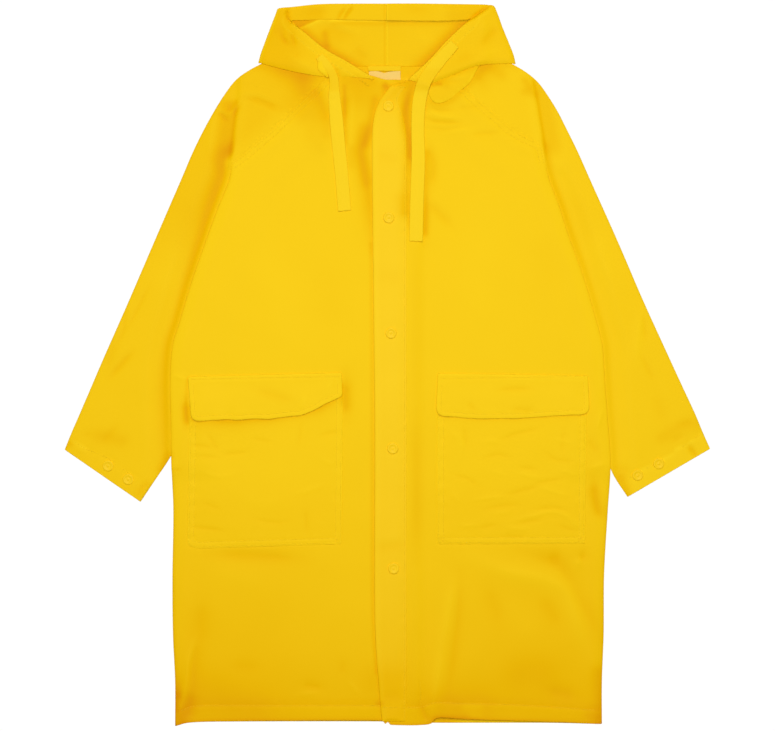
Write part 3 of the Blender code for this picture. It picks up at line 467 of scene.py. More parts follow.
# Painted soft shade on the cloth below what lies over it, and a few painted lighter spots, which have a
# negative strength
SHADES = table(
    SHADE,
    ([(-146, 742), (-119, 735), (-97, 730), (-72, 725.5), (-54, 726), (-16, 722.5)], 7, 0.45),
    ([(-112, 736), (-96, 725), (-90, 712)], 16, 0.55), ([(-93, 722), (-88, 701), (-80, 684)], 13, 0.4),
    ([(-32, 712), (-34, 690), (-36, 665)], 14, 0.22), ([(-47.3, 716), (-47, 690), (-45.5, 652)], 2.6, 0.6),
    ([(32, 722), (26, 706), (20.5, 690), (20.5, 676), (25, 655), (25, 638)], 5, 0.85),
    ([(23, 628), (21, 600), (20, 575)], 5, 0.45), ([(44.5, 642), (44, 600), (43.3, 552)], 3.4, 0.6),
    ([(-222.5, 388), (-224, 362)], 2, 0.5), ([(308, 323), (328, 335), (345, 338)], 7, 0.3),
    ([(-322, 325), (-296, 320)], 8, 0.3), ([(-44, 716), (18, 714)], 13, 0.4),
    ([(231, 263), (239, 243)], 8, 0.3), ([(-34, 700), (2, 697)], 12, 0.25),
    ([(-215, 40), (-150, 18)], 25, 0.25), ([(52, 27), (100, 24)], 20, 0.35), ([(52, 7), (100, 6)], 7, 0.5),
    ([(262, 278), (270, 258)], 6, 0.6), ([(-243, 303), (-252, 288)], 5, 0.5),
    ([(-268, 270), (-276, 262)], 5, 0.35), ([(-362, 312), (-352, 318)], 4, 0.4),
    ([(-224, 356), (-222, 341)], 4, 0.6), ([(-47, 376), (-47, 358)], 5.5, 0.35),
    ([(112, 740), (104, 727)], 6, 0.55), ([(155, 722), (160, 715)], 4.5, 0.6),
    ([(-107, 693), (-97, 683)], 10, 0.3), ([(-68, 678), (-67, 664)], 7, 0.3),
    ([(-10, 54), (8, 54)], 18, 0.22), ([(150, 60), (172, 62)], 20, 0.22), ([(228, 12), (236, 10)], 8, 0.35),
    ([(118, 736), (128, 729)], 7, 0.4), ([(113, 728), (108, 718)], 9, 0.2),
    ([(-82, 662), (-74, 654)], 12, 0.25), ([(-41, 645), (-41, 628)], 6, 0.3),
    ([(155, 710), (166, 707)], 5, 0.45), ([(90, 22), (103, 22)], 6, -0.35),
    ([(96, 12), (104, 11)], 4, -0.4), ([(-233, 29), (-231, 22)], 3, -0.4), ([(-10, 26), (-5, 26)], 3, 0.5),
    ([(-236, 34), (-230, 4)], 8, 0.8), ([(238, 60), (239, 5)], 8, 0.5), ([(16, 590), (18, 575)], 8, 0.25),
    ([(146, 741), (122, 740), (108, 739)], 6, 0.4),
    ([(104, 737), (93.5, 719.7), (82.3, 709.8), (72.2, 701.2), (61, 696.2), (50, 699)], 5, 0.55),
    ([(48, 719), (41, 700), (42, 690)], 4, 0.4), ([(14, 722), (26, 722)], 6, 0.4),
)
# Painted shade on the hood's lower layer, in the opening
INSIDE_SHADES = table(SHADE, ([(-69, 775), (-66.5, 762)], 4, 0.7), ([(-66, 777), (-56, 772)], 12, 0.2))
# The painted shade that the over front's free edge casts on the under front
EDGE_SHADES = table(
    SHADE,
    ([(-13, 701), (-15.5, 688), (-18, 672), (-21, 660), (-23.5, 651)], 4.5, 0.45),
    ([(-1, 717), (-3, 709)], 3, 0.4), ([(-25, 668), (-28.6, 645), (-25.8, 628), (-21.8, 611)], 7.5, 0.55),
    ([(-22, 606), (-18, 589), (-17, 560), (-16.5, 530)], 3.5, 0.2),
    ([(-17.5, 540), (-16.5, 430), (-16, 330), (-15.5, 130), (-12, 60)], 2.0, 0.45),
    ([(-2, 717), (5, 712)], 4, 0.8),
)

# Flat cuts of what shows: width and length, mm, the area, mm2, and what each lies on
CUT_ROWS = table(
    "node width length area rests_on",
    ("back", 493, 740, 314000, ()),
    ("front_right", 271, 732, 175000, ("cloth_back",)),
    ("front_left", 267, 730, 168000, ("cloth_front_right", "cloth_back")),
    ("sleeve_right", 216, 510, 91000, ("cloth_back",)),
    ("sleeve_left", 208, 500, 83000, ("cloth_back",)),
    ("hood_right", 144, 190, 15900, ("cloth_back", "cloth_sleeve_right")),
    ("hood_left", 144, 200, 18000, ("cloth_back", "cloth_sleeve_left")),
    ("placket", 39, 712, 25400, ("cloth_front_left",)),
    ("pocket_right", 175, 186, 31700, ("cloth_front_right",)),
    ("pocket_left", 168, 181, 30200, ("cloth_front_left",)),
    ("flap_right", 173, 54, 7900, ("cloth_pocket_right",)),
    ("flap_left", 171, 51, 8200, ("cloth_pocket_left",)),
)

# How far down each tape, mm, and the share of its full width that shows there
TIE_WIDTHS = {
    "right": [(0, 0.6), (12, 0.66), (24, 0.6), (36, 0.68), (52, 0.85), (75, 0.97), (190, 0.95)],
    "left": [(0, 0.78), (15, 0.88), (34, 0.95), (60, 1.0), (110, 0.93), (150, 1.0), (240, 0.98)],
}
# Bends of the tapes: how far along, half the length and the rise, mm
TIE_BENDS = {
    "right": [(46, 4, 0.5), (53, 3, -0.3), (90, 5, 0.3)],
    "left": [(56, 4, 0.6), (63, 3, -0.3), (100, 6, 0.25)],
}

# The loose cloth's soft waves: length, heading, phase and share
WAVES = [
    (68, 0.4, 1.1, 0.3), (97, 2.0, 0.2, 0.34), (54, 1.2, 2.6, 0.2), (41, 2.7, 4.0, 0.16),
    (132, 1.7, 5.1, 0.3),
]

# How high each shoulder's painted shade reaches, and its place beside the fold, its sharp painted line and
# its broad painted shade
SHOULDER_TOP = {"right": 704, "left": 728}
SHOULDER_SHADE = {"right": (3.0, 0.35, 0.55), "left": (2.5, 0.35, 0.4)}

# How much painted shade darkens the fronts' side edges and the cuffs, and how far the painted shade of the
# sleeve's hollow reaches inward, mm
SIDE_SHADE = {"right": 0.3, "left": 0.15}
CUFF_SHADE = {"right": 0.15, "left": 0.0}
VALLEY_INNER_WIDTH = {"right": 5, "left": 3.5}

# The painted shade of the opening's edge on the layer below: how high up it goes and how far it reaches, mm
OPENING_SHADE = {"right": (778, 6.5), "left": (788, 8.5)}

# The turns of a round fold, the quarter turns round a stitch, and the first shares of the way from the
# hood's centre seam to its fold, where its lower layer's points lie closer
FOLD_TURNS = np.linspace(-1.35, 1.35, 9)
QUARTERS = (0, 1.57, 3.14, 4.71)
SEAM_SHARES = (0, 0.007, 0.014, 0.022, 0.032, 0.044)

# How much a painted shading of 1 lightens red, green and blue as painted light; negative values paint shade
PAINTED_SHADING_REACH = (0.09, 0.24, 1.3)

# The finishes, each with its colour where the cloth is doubled and its clouds as a share of the colour
FINISHES = table(
    "name colour roughness specular grain doubled clouds",
    ("coated_cloth", (0.938, 0.601, 0.006), 0.5, 0.025, 0.1, (0.945, 0.618, 0.008), 0.008),
    ("coated_trim", (0.952, 0.612, 0.011), 0.48, 0.03, 0.1, (0.955, 0.616, 0.012), 0.008),
    ("tie_tape", (0.943, 0.624, 0.009), 0.5, 0.04, 0.2, (0.945, 0.633, 0.010), 0.02),
    ("thread", (0.955, 0.645, 0.012), 0.6, 0.05, 0.0, None, 0.0),
    ("snap", (0.945, 0.603, 0.008), 0.35, 0.07, 0.0, None, 0.0),
    ("label", (0.91, 0.60, 0.14), 0.7, 0.2, 0.2, None, 0.02),
)

# The camera's place and width of view, m, and its sensor's width, mm
CAMERA_PLACE = (0.0001, -0.0009, 3.0)
VIEW_WIDTH = 0.868
SENSOR_WIDTH = 36.0

# The floor's half width and height, m, and the strength of its own light and the sky's
FLOOR_REACH = 14
FLOOR_Z = -0.0004
FLOOR_LIGHT = 1.02
SKY_LIGHT = 0.25

# The lamps, m and W
LAMPS = table(
    "name place size power target",
    ("key", (0, 3.0, 4.4), 1.6, 95, (0, 0, 0)),
    ("overhead", (0, 0.12, 2.2), 0.8, 24, (0, 0.12, 0)),
)


# Curves and heights ----------------------------------------------------------------------------------


def curve(points, spacing=SPACING):
    """A smooth open curve through the points, as (n, 2) or more values about one spacing apart."""
    points = np.asarray(points, float)
    ends = [2 * points[0] - points[1], 2 * points[-1] - points[-2]]
    knots = np.vstack([ends[:1], points, ends[1:]])
    fine = [points[:1]]
    for before, start, end, after in zip(knots, knots[1:], knots[2:], knots[3:]):
        t = np.linspace(0, 1, 17)[1:, None]
        bend = (2 * before - 5 * start + 4 * end - after) * t**2
        twist = (3 * start - before - 3 * end + after) * t**3
        fine.append(0.5 * (2 * start + (end - before) * t + bend + twist))
    fine = np.vstack(fine)
    along = lengths(fine[:, :2])
    count = max(2, round(along[-1] / spacing) + 1)
    return resample(fine, along, np.linspace(0, along[-1], count))


def lengths(line):
    """How far along the line each of its points lies."""
    return np.r_[0, np.cumsum(np.linalg.norm(np.diff(line, axis=0), axis=1))]


def resample(values, along, places):
    """The values at other places along their line."""
    return np.stack([np.interp(places, along, column) for column in np.asarray(values).T], axis=1)


def interpolate(rows, key, value):
    """A smooth function of one column of a table, giving another."""
    fine = curve([(getattr(row, key), getattr(row, value)) for row in rows], 2.0)
    order = np.argsort(fine[:, 0])
    return lambda places: np.interp(places, fine[order, 0], fine[order, 1])


def side_points(rows, side):
    """One side's points of a table that has both sides' x and height."""
    return [(getattr(row, side + "_x"), getattr(row, side + "_height")) for row in rows]


def smooth(value):
    """The share from 0 to 1 with a soft start and end."""
    value = np.clip(value, 0, 1)
    return value * value * (3 - 2 * value)


def ramp(values, start, reach):
    """0 at the start, rising softly to 1 one reach further on, or one reach back if it is negative."""
    return smooth((values - start) / reach)


def bump(values, place, half_width):
    """1 at the place, falling softly to 0 on both sides of it."""
    return np.exp(-(((values - place) / half_width) ** 2))


def rim(away, reach):
    """1 at an edge, falling to 0 within reach of it."""
    return np.clip(1 - away / reach, 0, 1) ** 2


def trace(points, line):
    """Each point's distance to a chain of points, and how far along the chain its nearest place is."""
    line = np.asarray(line, float)
    best = np.full(len(points), np.inf)
    place = np.zeros(len(points))
    done = 0.0
    for start, end in zip(line[:-1], line[1:]):
        span = end - start
        length = math.hypot(*span)
        t = np.clip((points - start) @ span / max(length**2, 1e-9), 0, 1)
        away = np.hypot(points[:, 0] - start[0] - t * span[0], points[:, 1] - start[1] - t * span[1])
        nearer = away < best
        best[nearer] = away[nearer]
        place[nearer] = done + t[nearer] * length
        done += length
    return best, place


def distance(points, line):
    """Each point's distance to a chain of points."""
    return trace(points, line)[0]


def edge_distance(points, outline):
    """Each point's distance to a closed outline."""
    return distance(points, np.vstack([outline, outline[:1]]))


def near(points, line, reach):
    """The indices of the points that may lie within reach of the line."""
    low, high = np.min(line, axis=0) - reach, np.max(line, axis=0) + reach
    return np.flatnonzero(((points >= low) & (points <= high)).all(axis=1))


def inside(points, outline):
    """Which of the points lie inside a closed outline."""
    x, height = points.T
    crossings = np.zeros(len(points), bool)
    for start, end in zip(outline, np.roll(outline, -1, axis=0)):
        spans = (start[1] > height) != (end[1] > height)
        rise = end[1] - start[1] or 1e-9
        crossings ^= spans & (x < start[0] + (height - start[1]) / rise * (end[0] - start[0]))
    return crossings


def counter_clockwise(outline):
    """The outline, turned round if it runs clockwise."""
    x, y = outline.T
    area = 0.5 * np.sum(x * np.roll(y, -1) - y * np.roll(x, -1))
    return outline[::-1] if area < 0 else outline


def unit(ways):
    """The ways, each with a length of 1."""
    return ways / np.maximum(np.linalg.norm(ways, axis=1), 1e-9)[:, None]


def turned(ways):
    """Unit vectors a quarter turn to the left of the ways."""
    ways = unit(ways)
    return np.column_stack([-ways[:, 1], ways[:, 0]])


def inset(line, by, sign):
    """The line moved sideways, towards the coat's middle."""
    return line + by * sign * turned(np.gradient(line, axis=0))


def inwards(outline, by):
    """A closed outline, counter-clockwise, moved towards its inside."""
    return outline + by * turned(np.roll(outline, -1, axis=0) - np.roll(outline, 1, axis=0))


def line_at(heights, of_x):
    """The line whose x is a function of its height."""
    return np.column_stack([of_x(heights), heights])


def creased(points, creases):
    """The sum of the creases' soft troughs and ridges, each of which fades out at its ends."""
    height = np.zeros(len(points))
    for crease in creases:
        line = curve(crease.line, 4.0)
        close = near(points, line, 2.4 * crease.half_width)
        if len(close):
            away, along = trace(points[close], line)
            along = along / lengths(line)[-1]
            fade = 0.3 + 0.7 * smooth(3.2 * np.minimum(along, 1 - along))
            height[close] += crease.rise * fade * np.exp(-((away / crease.half_width) ** 1.6))
    return height


def painted_crease_shading(points, creases):
    """Painted shade in the creases' hollows, and painted highlight on their ridges."""
    height = creased(points, creases)
    return np.clip(np.where(height < 0, 0.5, 0.22) * height, -0.9, 0.25)


def painted_broad_shade(points):
    """Painted shade towards the hem, a little more so at the sides."""
    x, height = points.T
    tone = np.interp(height, *zip(*PAINTED_HEM_SHADE))
    return tone - 0.12 * ramp(np.abs(x), 40, 120) * ramp(height, 250, -90)


def shade_tone(points, shades):
    """Painted soft shade under what lies over the cloth, and painted light where a strength is negative."""
    tone = np.zeros(len(points))
    for shade in shades:
        line = curve(shade.line, 4.0)
        close = near(points, line, 2.2 * shade.half_width)
        if len(close):
            tone[close] -= shade.strength * bump(distance(points[close], line), 0, shade.half_width)
    return tone


def undulation(points):
    """The soft, uneven swelling of cloth that lies loose, between about -1 and 1."""
    x, height = points.T
    warped = points + 9 * np.column_stack([np.sin(height / 41 + 1), np.sin(x / 47 + 4)])
    total = np.zeros(len(points))
    for length, heading, phase, share in WAVES:
        way = np.array([math.cos(heading), math.sin(heading)])
        total += share * np.sin(2 * math.pi * (warped @ way) / length + phase)
    return total


def side_line(side):
    """The coat's side edge and raglan seam, from the hem up to the neck, on one side."""
    body = curve([(getattr(row, side), row.height) for row in BODY], 9.0)
    return np.vstack([body, curve([body[-1], *side_points(RAGLAN, side)], 9.0)[1:]])


SIDE = {side: side_line(side) for side in SIDES}
BACK_OUTLINE = np.vstack([SIDE["left"], SIDE["right"][::-1]])
FREE_EDGE, STITCHED_EDGE = (interpolate(PLACKET, "height", edge) for edge in ("edge", "stitch"))
FRONT_HEM, BACK_HEM = (interpolate(HEM, "x", panel) for panel in ("front", "back"))


def front_top(points, side):
    """Height of a front's outer face, which lies on the back and the sleeve's tuck and rolls down."""
    x, height = points.T
    edge = distance(points, SIDE[side])
    over_sleeve = smooth((height - UNDERARM + 26) / 24)
    on_tuck = 1 - ramp(edge, TUCK, 30)
    level = FRONT_BASE + (FRONT_OVER_SLEEVE - FRONT_BASE) * on_tuck * over_sleeve + SOLID_WALL
    pillow = 0.5 * bump(edge, 13, 7) + 0.35 * undulation(points)
    level = level + (pillow + creased(points, FRONT_CREASES)) * ramp(edge, 1.5, 9)
    round_over = 1 - np.sqrt(1 - rim(edge, SIDE_ROLL))
    over = level - (1.15 - 0.85 * ramp(height, 622, 14)) * round_over
    down = CLOTH + 0.15 + (level - CLOTH - 0.15) * (1 - round_over)
    level = down + (over - down) * over_sleeve
    if side == "right":
        return level
    return level + OVER_FRONT * (1 - smooth((x - UNDER_FRONT_EDGE - 3) / 14))


def panel_top(points):
    """Height of the fronts' outer faces, whichever front is uppermost at each point."""
    over = points[:, 0] > FREE_EDGE(points[:, 1])
    return np.where(over, front_top(points, "left"), front_top(points, "right"))


def sewn(points, rows, depth=0.3, pucker=0.12):
    """Uneven dents along rows of stitches, with small puckers beside them."""
    height = np.zeros(len(points))
    for number, row in enumerate(rows):
        close = near(points, row, 12)
        if len(close):
            away, along = trace(points[close], row)
            waver = np.sin(along / 3.1 + 2 * np.sin(along / 23 + number))
            waver = waver + 0.7 * np.sin(along / 1.7 + 5 * np.sin(along / 37))
            height[close] -= depth * (1 + 0.3 * waver) * bump(away, 0, 1.3)
            height[close] += pucker * waver * bump(away, 0, 4.5)
    return height


# Making pieces ---------------------------------------------------------------------------------------


def lattice(outline, details, reach, spacing):
    """Points of a triangular lattice inside the outline, twice as close near the lines of detail."""
    low, high = outline.min(axis=0), outline.max(axis=0)
    half = spacing / 2
    step_y = half * math.sqrt(3) / 2
    rows = np.arange(math.floor(low[1] / step_y), math.ceil(high[1] / step_y) + 1)
    columns = np.arange(math.floor(low[0] / half) - 1, math.ceil(high[0] / half) + 2)
    column, row = (grid.ravel() for grid in np.meshgrid(columns, rows))
    points = np.column_stack([(column + row % 2 / 2) * half, row * step_y])
    wanted = (row % 2 == 0) & ((column + row // 2 % 2) % 2 == 0)
    for line in details:
        close = near(points, line, reach)
        if len(close):
            wanted[close] |= distance(points[close], line) < reach
    points = points[wanted]
    points = points[inside(points, outline)]
    return points[edge_distance(points, outline) > 0.42 * spacing]


def flat_mesh(outline, details=(), reach=3.0, spacing=SPACING):
    """Points and triangles that fill a flat outline, with a narrow strip of them along its edge."""
    outline = counter_clockwise(np.asarray(outline, float))
    inner = lattice(outline, details, reach, spacing)
    corners = [Vector(point) for point in np.vstack([outline, inwards(outline, RIM), inner])]
    count = len(outline)
    ring = [(index + start, (index + 1) % count + start) for start in (0, count) for index in range(count)]
    points, _, faces, *_ = delaunay_2d_cdt(corners, ring, [], 1, 1e-5)
    flat, faces = np.array(points), np.array(faces)
    a, b, c = (flat[faces[:, index]] for index in range(3))
    turn = (b[:, 0] - a[:, 0]) * (c[:, 1] - a[:, 1]) - (b[:, 1] - a[:, 1]) * (c[:, 0] - a[:, 0])
    faces[turn < 0] = faces[turn < 0][:, ::-1]
    return flat, faces


def grid_faces(count, size, closed=False):
    """The quads between lines of equally many points, which are open rows or closed rings."""
    steps = np.meshgrid(np.arange(count - 1), np.arange(size if closed else size - 1), indexing="ij")
    line, place = (step.ravel() for step in steps)
    here, ahead = line * size + place, line * size + (place + 1) % size
    return np.column_stack([here, ahead, ahead + size, here + size])


def gathered(places, vectors, count):
    """The sum of the vectors at each of the places."""
    return np.column_stack([np.bincount(places, column, count) for column in vectors.T])


def shell(points, faces, thickness=CLOTH, doubled=0.0, tone=0.0):
    """A closed wall of cloth with rounded edges: points, faces, each point's doubling and painted shading."""
    points, faces = np.asarray(points, float), np.asarray(faces)
    count, corners = len(points), faces.shape[1]
    # A triangle's normal comes from two of its sides, and a quad's from its diagonals.
    tips = ((2, 0), (3, 1)) if corners == 4 else ((1, 0), (2, 0))
    ways = np.cross(*(points[faces[:, end]] - points[faces[:, start]] for end, start in tips))
    normals = unit(sum(gathered(faces[:, corner], ways, count) for corner in range(corners)))
    starts, ends = faces.ravel(), np.roll(faces, -1, axis=1).ravel()
    open_edges = ~np.isin(starts * count + ends, ends * count + starts)
    starts, ends = starts[open_edges], ends[open_edges]
    edge_way = unit(np.cross(points[ends] - points[starts], (normals[starts] + normals[ends]) / 2))
    outwards = unit(gathered(starts, edge_way, count) + gathered(ends, edge_way, count))
    edge = np.unique(starts)
    middle = points[edge] - normals[edge] * thickness / 2 + outwards[edge] * thickness * 0.4
    place = np.zeros(count, int)
    place[edge] = np.arange(len(edge)) + 2 * count
    sides = np.vstack(
        [
            np.column_stack([ends, starts, place[starts], place[ends]]),
            np.column_stack([place[ends], place[starts], starts + count, ends + count]),
        ]
    )
    shares = np.column_stack([np.broadcast_to(doubled, count), np.broadcast_to(tone, count)])
    return (
        np.vstack([points, points - normals * thickness, middle]),
        [*faces.tolist(), *(faces[:, ::-1] + count).tolist(), *sides.tolist()],
        np.vstack([shares, shares, shares[edge]]),
    )


def panel(flat, faces, heights, thickness=CLOTH, doubled=0.0, tone=0.0):
    """The shell of a flat mesh whose points are raised to the heights."""
    return shell(np.column_stack([flat, heights]), faces, thickness, doubled, tone)


def raised(grid, level):
    """The grid of flat points with the heights that level gives."""
    return np.dstack([grid, level(grid.reshape(-1, 2)).reshape(grid.shape[:2])])


def rimmed(grid, ways=2):
    """The grid with one more row, and with two ways one more column, just inside each of its edges."""
    for _ in range(ways):
        for _ in range(2):
            step = grid[1] - grid[0]
            reach = np.maximum(np.linalg.norm(step, axis=1, keepdims=True), 1e-6)
            added = grid[0] + step * np.minimum(0.5, RIM / reach)
            grid = np.concatenate([grid[:1], [added], grid[1:]])[::-1]
        grid = grid.swapaxes(0, 1)
    return grid if ways == 2 else grid.swapaxes(0, 1)


def add_piece(name, shells, finish, node=None):
    """An object made of closed shells, whose heights above the hem are moved to the coat's middle."""
    points, faces, shares = [], [], []
    for more_points, more_faces, more_shares in shells:
        start = sum(map(len, points))
        points.append(more_points)
        faces.extend([[index + start for index in face] for face in more_faces])
        shares.append(more_shares)
    centred = (np.vstack(points) - CENTRE) * MM
    mesh = bpy.data.meshes.new(name)
    mesh.from_pydata(centred.tolist(), [], faces)
    mesh.materials.append(finish)
    for attribute, column in zip(("doubled", "tone"), np.vstack(shares).T):
        values = mesh.attributes.new(attribute, "FLOAT", "POINT")
        values.data.foreach_set("value", np.ascontiguousarray(column, np.float32))
    made = bpy.data.objects.new(name, mesh)
    bpy.context.scene.collection.objects.link(made)
    mesh.shade_smooth()
    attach(made, "root")
    if node:
        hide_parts(node)
    return made


def add_cloth(node, shells, finish=None):
    """A cloth piece that stands for one solid and lies on what is under it."""
    made = add_piece("cloth_" + node, shells, finish or CLOTH_FINISH, node)


def add_stitches(name, rows, level):
    """Short rounded stitches along each row, lying in the cloth at the height that level gives."""
    tips = [(-0.5, 0, -0.3), (0.5, 0, -0.3)]
    rings = [(x, 0.9 * math.cos(turn), 0.9 * math.sin(turn)) for x in (-0.36, 0, 0.36) for turn in QUARTERS]
    template = np.array(tips + rings)
    quarters = [(start, (start + 1) % 4) for start in range(4)]
    faces = [[ring + 4 + i, ring + 4 + j, ring + j, ring + i] for ring in (2, 6) for i, j in quarters]
    faces += [[2 + i, 2 + j, 0] for i, j in quarters] + [[10 + j, 10 + i, 1] for i, j in quarters]
    centres, ways = [], []
    for row in rows:
        along = lengths(row)
        places = np.arange(STITCH_PITCH / 2, along[-1], STITCH_PITCH)
        centres.append(resample(row, along, places))
        ahead = resample(row, along, np.minimum(places + 0.5, along[-1]))
        ways.append(ahead - resample(row, along, places - 0.5))
    centres, ways = np.vstack(centres), np.vstack(ways)
    points = np.empty((len(centres), len(template), 3))
    flat = centres[:, None] + STITCH_LENGTH * template[None, :, :1] * unit(ways)[:, None]
    points[:, :, :2] = flat + THREAD_RADIUS * template[None, :, 1:2] * turned(ways)[:, None]
    points[:, :, 2] = (level(centres) + 0.1)[:, None] + THREAD_RADIUS * template[None, :, 2]
    starts = range(0, points.shape[0] * points.shape[1], len(template))
    faces = [[index + start for index in face] for start in starts for face in faces]
    points = points.reshape(-1, 3)
    shares = np.zeros((len(points), 2))
    add_piece("stitches_" + name, [(points, faces, shares)], THREAD_FINISH)


def rounded(rows, spacing=SPACING):
    """A closed outline through the corners, each rounded with its own radius."""
    corners = np.array([(row.x, row.height) for row in rows], float)
    outline = []
    for index, row in enumerate(rows):
        following = (index + 1) % len(rows)
        here, before, after = corners[index], corners[index - 1], corners[following]
        back = (before - here) / np.linalg.norm(before - here)
        ahead = (after - here) / np.linalg.norm(after - here)
        for t in np.linspace(0, 1, max(3, round(row.radius / 1.5))):
            outline.append(here + row.radius * (back * (1 - t) ** 2 + ahead * t**2))
        length = np.linalg.norm(after - here) - row.radius - rows[following].radius
        steps = round(length / spacing)
        outline += [here + ahead * (row.radius + length * step / steps) for step in range(1, steps)]
    return np.array(outline)


# The coat's pieces -----------------------------------------------------------------------------------


def make_back():
    """The back lies flat on the floor, with soft creases that lift off it."""
    right, left = (inset(SIDE[side], 1.5, SIGN[side]) for side in SIDES)
    right, left = right[right[:, 1] > 8], left[left[:, 1] > 8]
    top = curve([(-row.x, row.height - NECK_SEAM_GAP) for row in NECK[2::-1]], 4.0)
    top = np.vstack([top, top[-2::-1] * (-1, 1)])
    hem_x = np.linspace(right[0, 0], left[0, 0], 120)
    outline = np.vstack([np.column_stack([hem_x, BACK_HEM(hem_x)]), left, top[::-1], right[::-1]])
    flat, faces = flat_mesh(outline, spacing=5.0)
    x, height = flat.T
    lift = np.clip(creased(flat, BACK_CREASES), 0, 1.3)
    lift = lift + np.clip(sewn(flat, [curve(BACK_HEM_STITCH)]), -0.05, 0.2)
    # Painted shade at the back neck under the hood, and on the strip of back that shows below the front's hem
    tone = -0.55 * ramp(height, 723, 5)
    tone = tone - 1.1 * ramp(height, 12, -3) * bump(x, 66, 16)
    add_cloth("back", [panel(flat, faces, CLOTH + np.maximum(lift, 0), tone=tone)])


def front_outline(side):
    """The front's outline, from its hem up the opening and round to its side."""
    edge = inset(SIDE[side], 0.4, SIGN[side])
    edge = resample(edge, lengths(edge), np.arange(0, lengths(edge)[-1], SPACING))
    edge = edge[edge[:, 1] > 6]
    last = FREE_EDGE(3) if side == "left" else UNDER_FRONT_EDGE
    hem_x = np.linspace(edge[0, 0], last, round(abs(edge[0, 0] - last) / SPACING))[:-1]
    if side == "left":
        hem = FRONT_HEM(hem_x)
        opening = line_at(np.linspace(7, 714, 235), lambda heights: FREE_EDGE(heights) + 0.7)
    else:
        hem = FRONT_HEM(np.minimum(hem_x, -10))
        opening = line_at(np.linspace(12, 708, 232), lambda heights: UNDER_FRONT_EDGE + 0 * heights)
    outline = np.vstack([np.column_stack([hem_x, hem]), opening, curve(FRONT_NECK[side]), edge[::-1]])
    return outline[::-1] if side == "left" else outline


def make_front(side):
    """A front with its turned hem, pressed down under its pocket and, on the left, under its placket."""
    hem_row = curve(HEM_STITCH[side])
    seam = SIDE[side][SIDE[side][:, 1] > 628]
    rows = [hem_row, *(inset(seam, by, SIGN[side]) for by in RAGLAN_ROWS)]
    if side == "left":
        rows.append(curve(PLACKET_END_STITCH))
    rims = [inset(SIDE[side], by, SIGN[side]) for by in (1.0, 3.0)]
    sharp = [curve(crease.line) for crease in FRONT_CREASES if crease.half_width < 5.5]
    flat, faces = flat_mesh(front_outline(side), [*rows, *rims, *sharp])
    pocket = rounded(POCKET[side])

    def below_stitch(points):
        return np.interp(points[:, 0], *hem_row[np.argsort(hem_row[:, 0])].T) - points[:, 1]

    def level(points):
        x, height = points.T
        turned_up = smooth(below_stitch(points) / 1.2 + 0.5)
        top = front_top(points, side) + HEM_RAISE * turned_up + sewn(points, rows, 0.2)
        top = top - UNDER_PATCH * inside(points, pocket) * smooth(distance(points, pocket) / 2)
        if side == "left":
            top = top - UNDER_PATCH * smooth((STITCHED_EDGE(height) - x - 0.4) / 1.5)
        return top

    edge, below = distance(flat, SIDE[side]), below_stitch(flat)
    # Painted light and shade: a faint highlight in from the side edge, shade on it, shade along the hem's
    # stitches and at the hem's edge
    lit = 0.05 * bump(edge, 7, 5) - SIDE_SHADE[side] * bump(edge, 0, 1.8)
    lit = lit * (1 - ramp(flat[:, 1], 622, 20))
    lit = lit - 0.2 * bump(below, 0, 1.1) + 0.06 * bump(below, 3, 1.4)
    lit = lit - 0.04 * smooth(below / 2) - 0.12 * bump(below, -4, 4)
    lit = lit - 0.5 * bump(flat[:, 1] - FRONT_HEM(flat[:, 0]), 0, 2.5)
    shades = SHADES + EDGE_SHADES if side == "right" else SHADES
    tone = painted_broad_shade(flat) + painted_crease_shading(flat, FRONT_CREASES) + shade_tone(flat, shades) + lit
    doubled = smooth(below / 1.2 + 0.5)
    add_cloth("front_" + side, [panel(flat, faces, level(flat), doubled=doubled, tone=tone)])
    add_stitches("front_" + side, rows, level)


def make_placket():
    """The strip on the left front, sewn along one edge, free along the other and drawn in at its snaps."""
    heights = np.linspace(6, 716, 237)
    outline = np.vstack([line_at(heights, STITCHED_EDGE), line_at(heights[::-1], FREE_EDGE)])
    rows = [line_at(heights, lambda places: STITCHED_EDGE(places) - 2.0), curve(PLACKET_HEM_STITCH)]
    flat, faces = flat_mesh(outline, [*rows, line_at(heights, FREE_EDGE)])

    def level(points):
        x, height = points.T
        top = front_top(points, "left") + 0.18 + 0.92 * smooth((STITCHED_EDGE(height) - x) / 12)
        free = x - FREE_EDGE(height)
        top = top + creased(points, PLACKET_CREASES) - 0.5 * rim(free, 2.5) + 0.3 * bump(free, 6, 4)
        for snap_x, snap_height in PLACKET_SNAPS:
            top = top - 0.45 * bump(np.hypot(x - snap_x, height - snap_height), 0, 9)
        return top + sewn(points, rows, 0.06, 0.08)

    free = flat[:, 0] - FREE_EDGE(flat[:, 1])
    # Painted shade of creases, of what lies over it and towards the hem, and a painted highlight along the
    # free edge
    tone = painted_crease_shading(flat, PLACKET_CREASES) + 0.12 * bump(free, 3, 2.5) + shade_tone(flat, SHADES)
    tone = tone + painted_broad_shade(flat)
    add_cloth("placket", [panel(flat, faces, level(flat), doubled=0.6, tone=tone)], TRIM_FINISH)
    add_stitches("placket", rows, level)


def patch_level(points, side, outline, creases, lift, rows):
    """Height of a patch that is sewn down round its edge: it swells a little within."""
    edge = edge_distance(points, outline)
    swell = 0.35 * ramp(edge, 6, 20) - 0.35 * rim(edge, 2.0)
    return front_top(points, side) + lift + swell + creased(points, creases) + sewn(points, rows, 0.2)


def open_row(outline, by, highest):
    """The part of an outline, moved inwards, that lies below a height, as one row from end to end."""
    row = inwards(counter_clockwise(outline), by)
    low = row[:, 1] < highest
    start = np.flatnonzero(low & ~np.roll(low, 1))[0]
    row, low = np.roll(row, -start, axis=0), np.roll(low, -start)
    return row[: np.flatnonzero(~low)[0]]


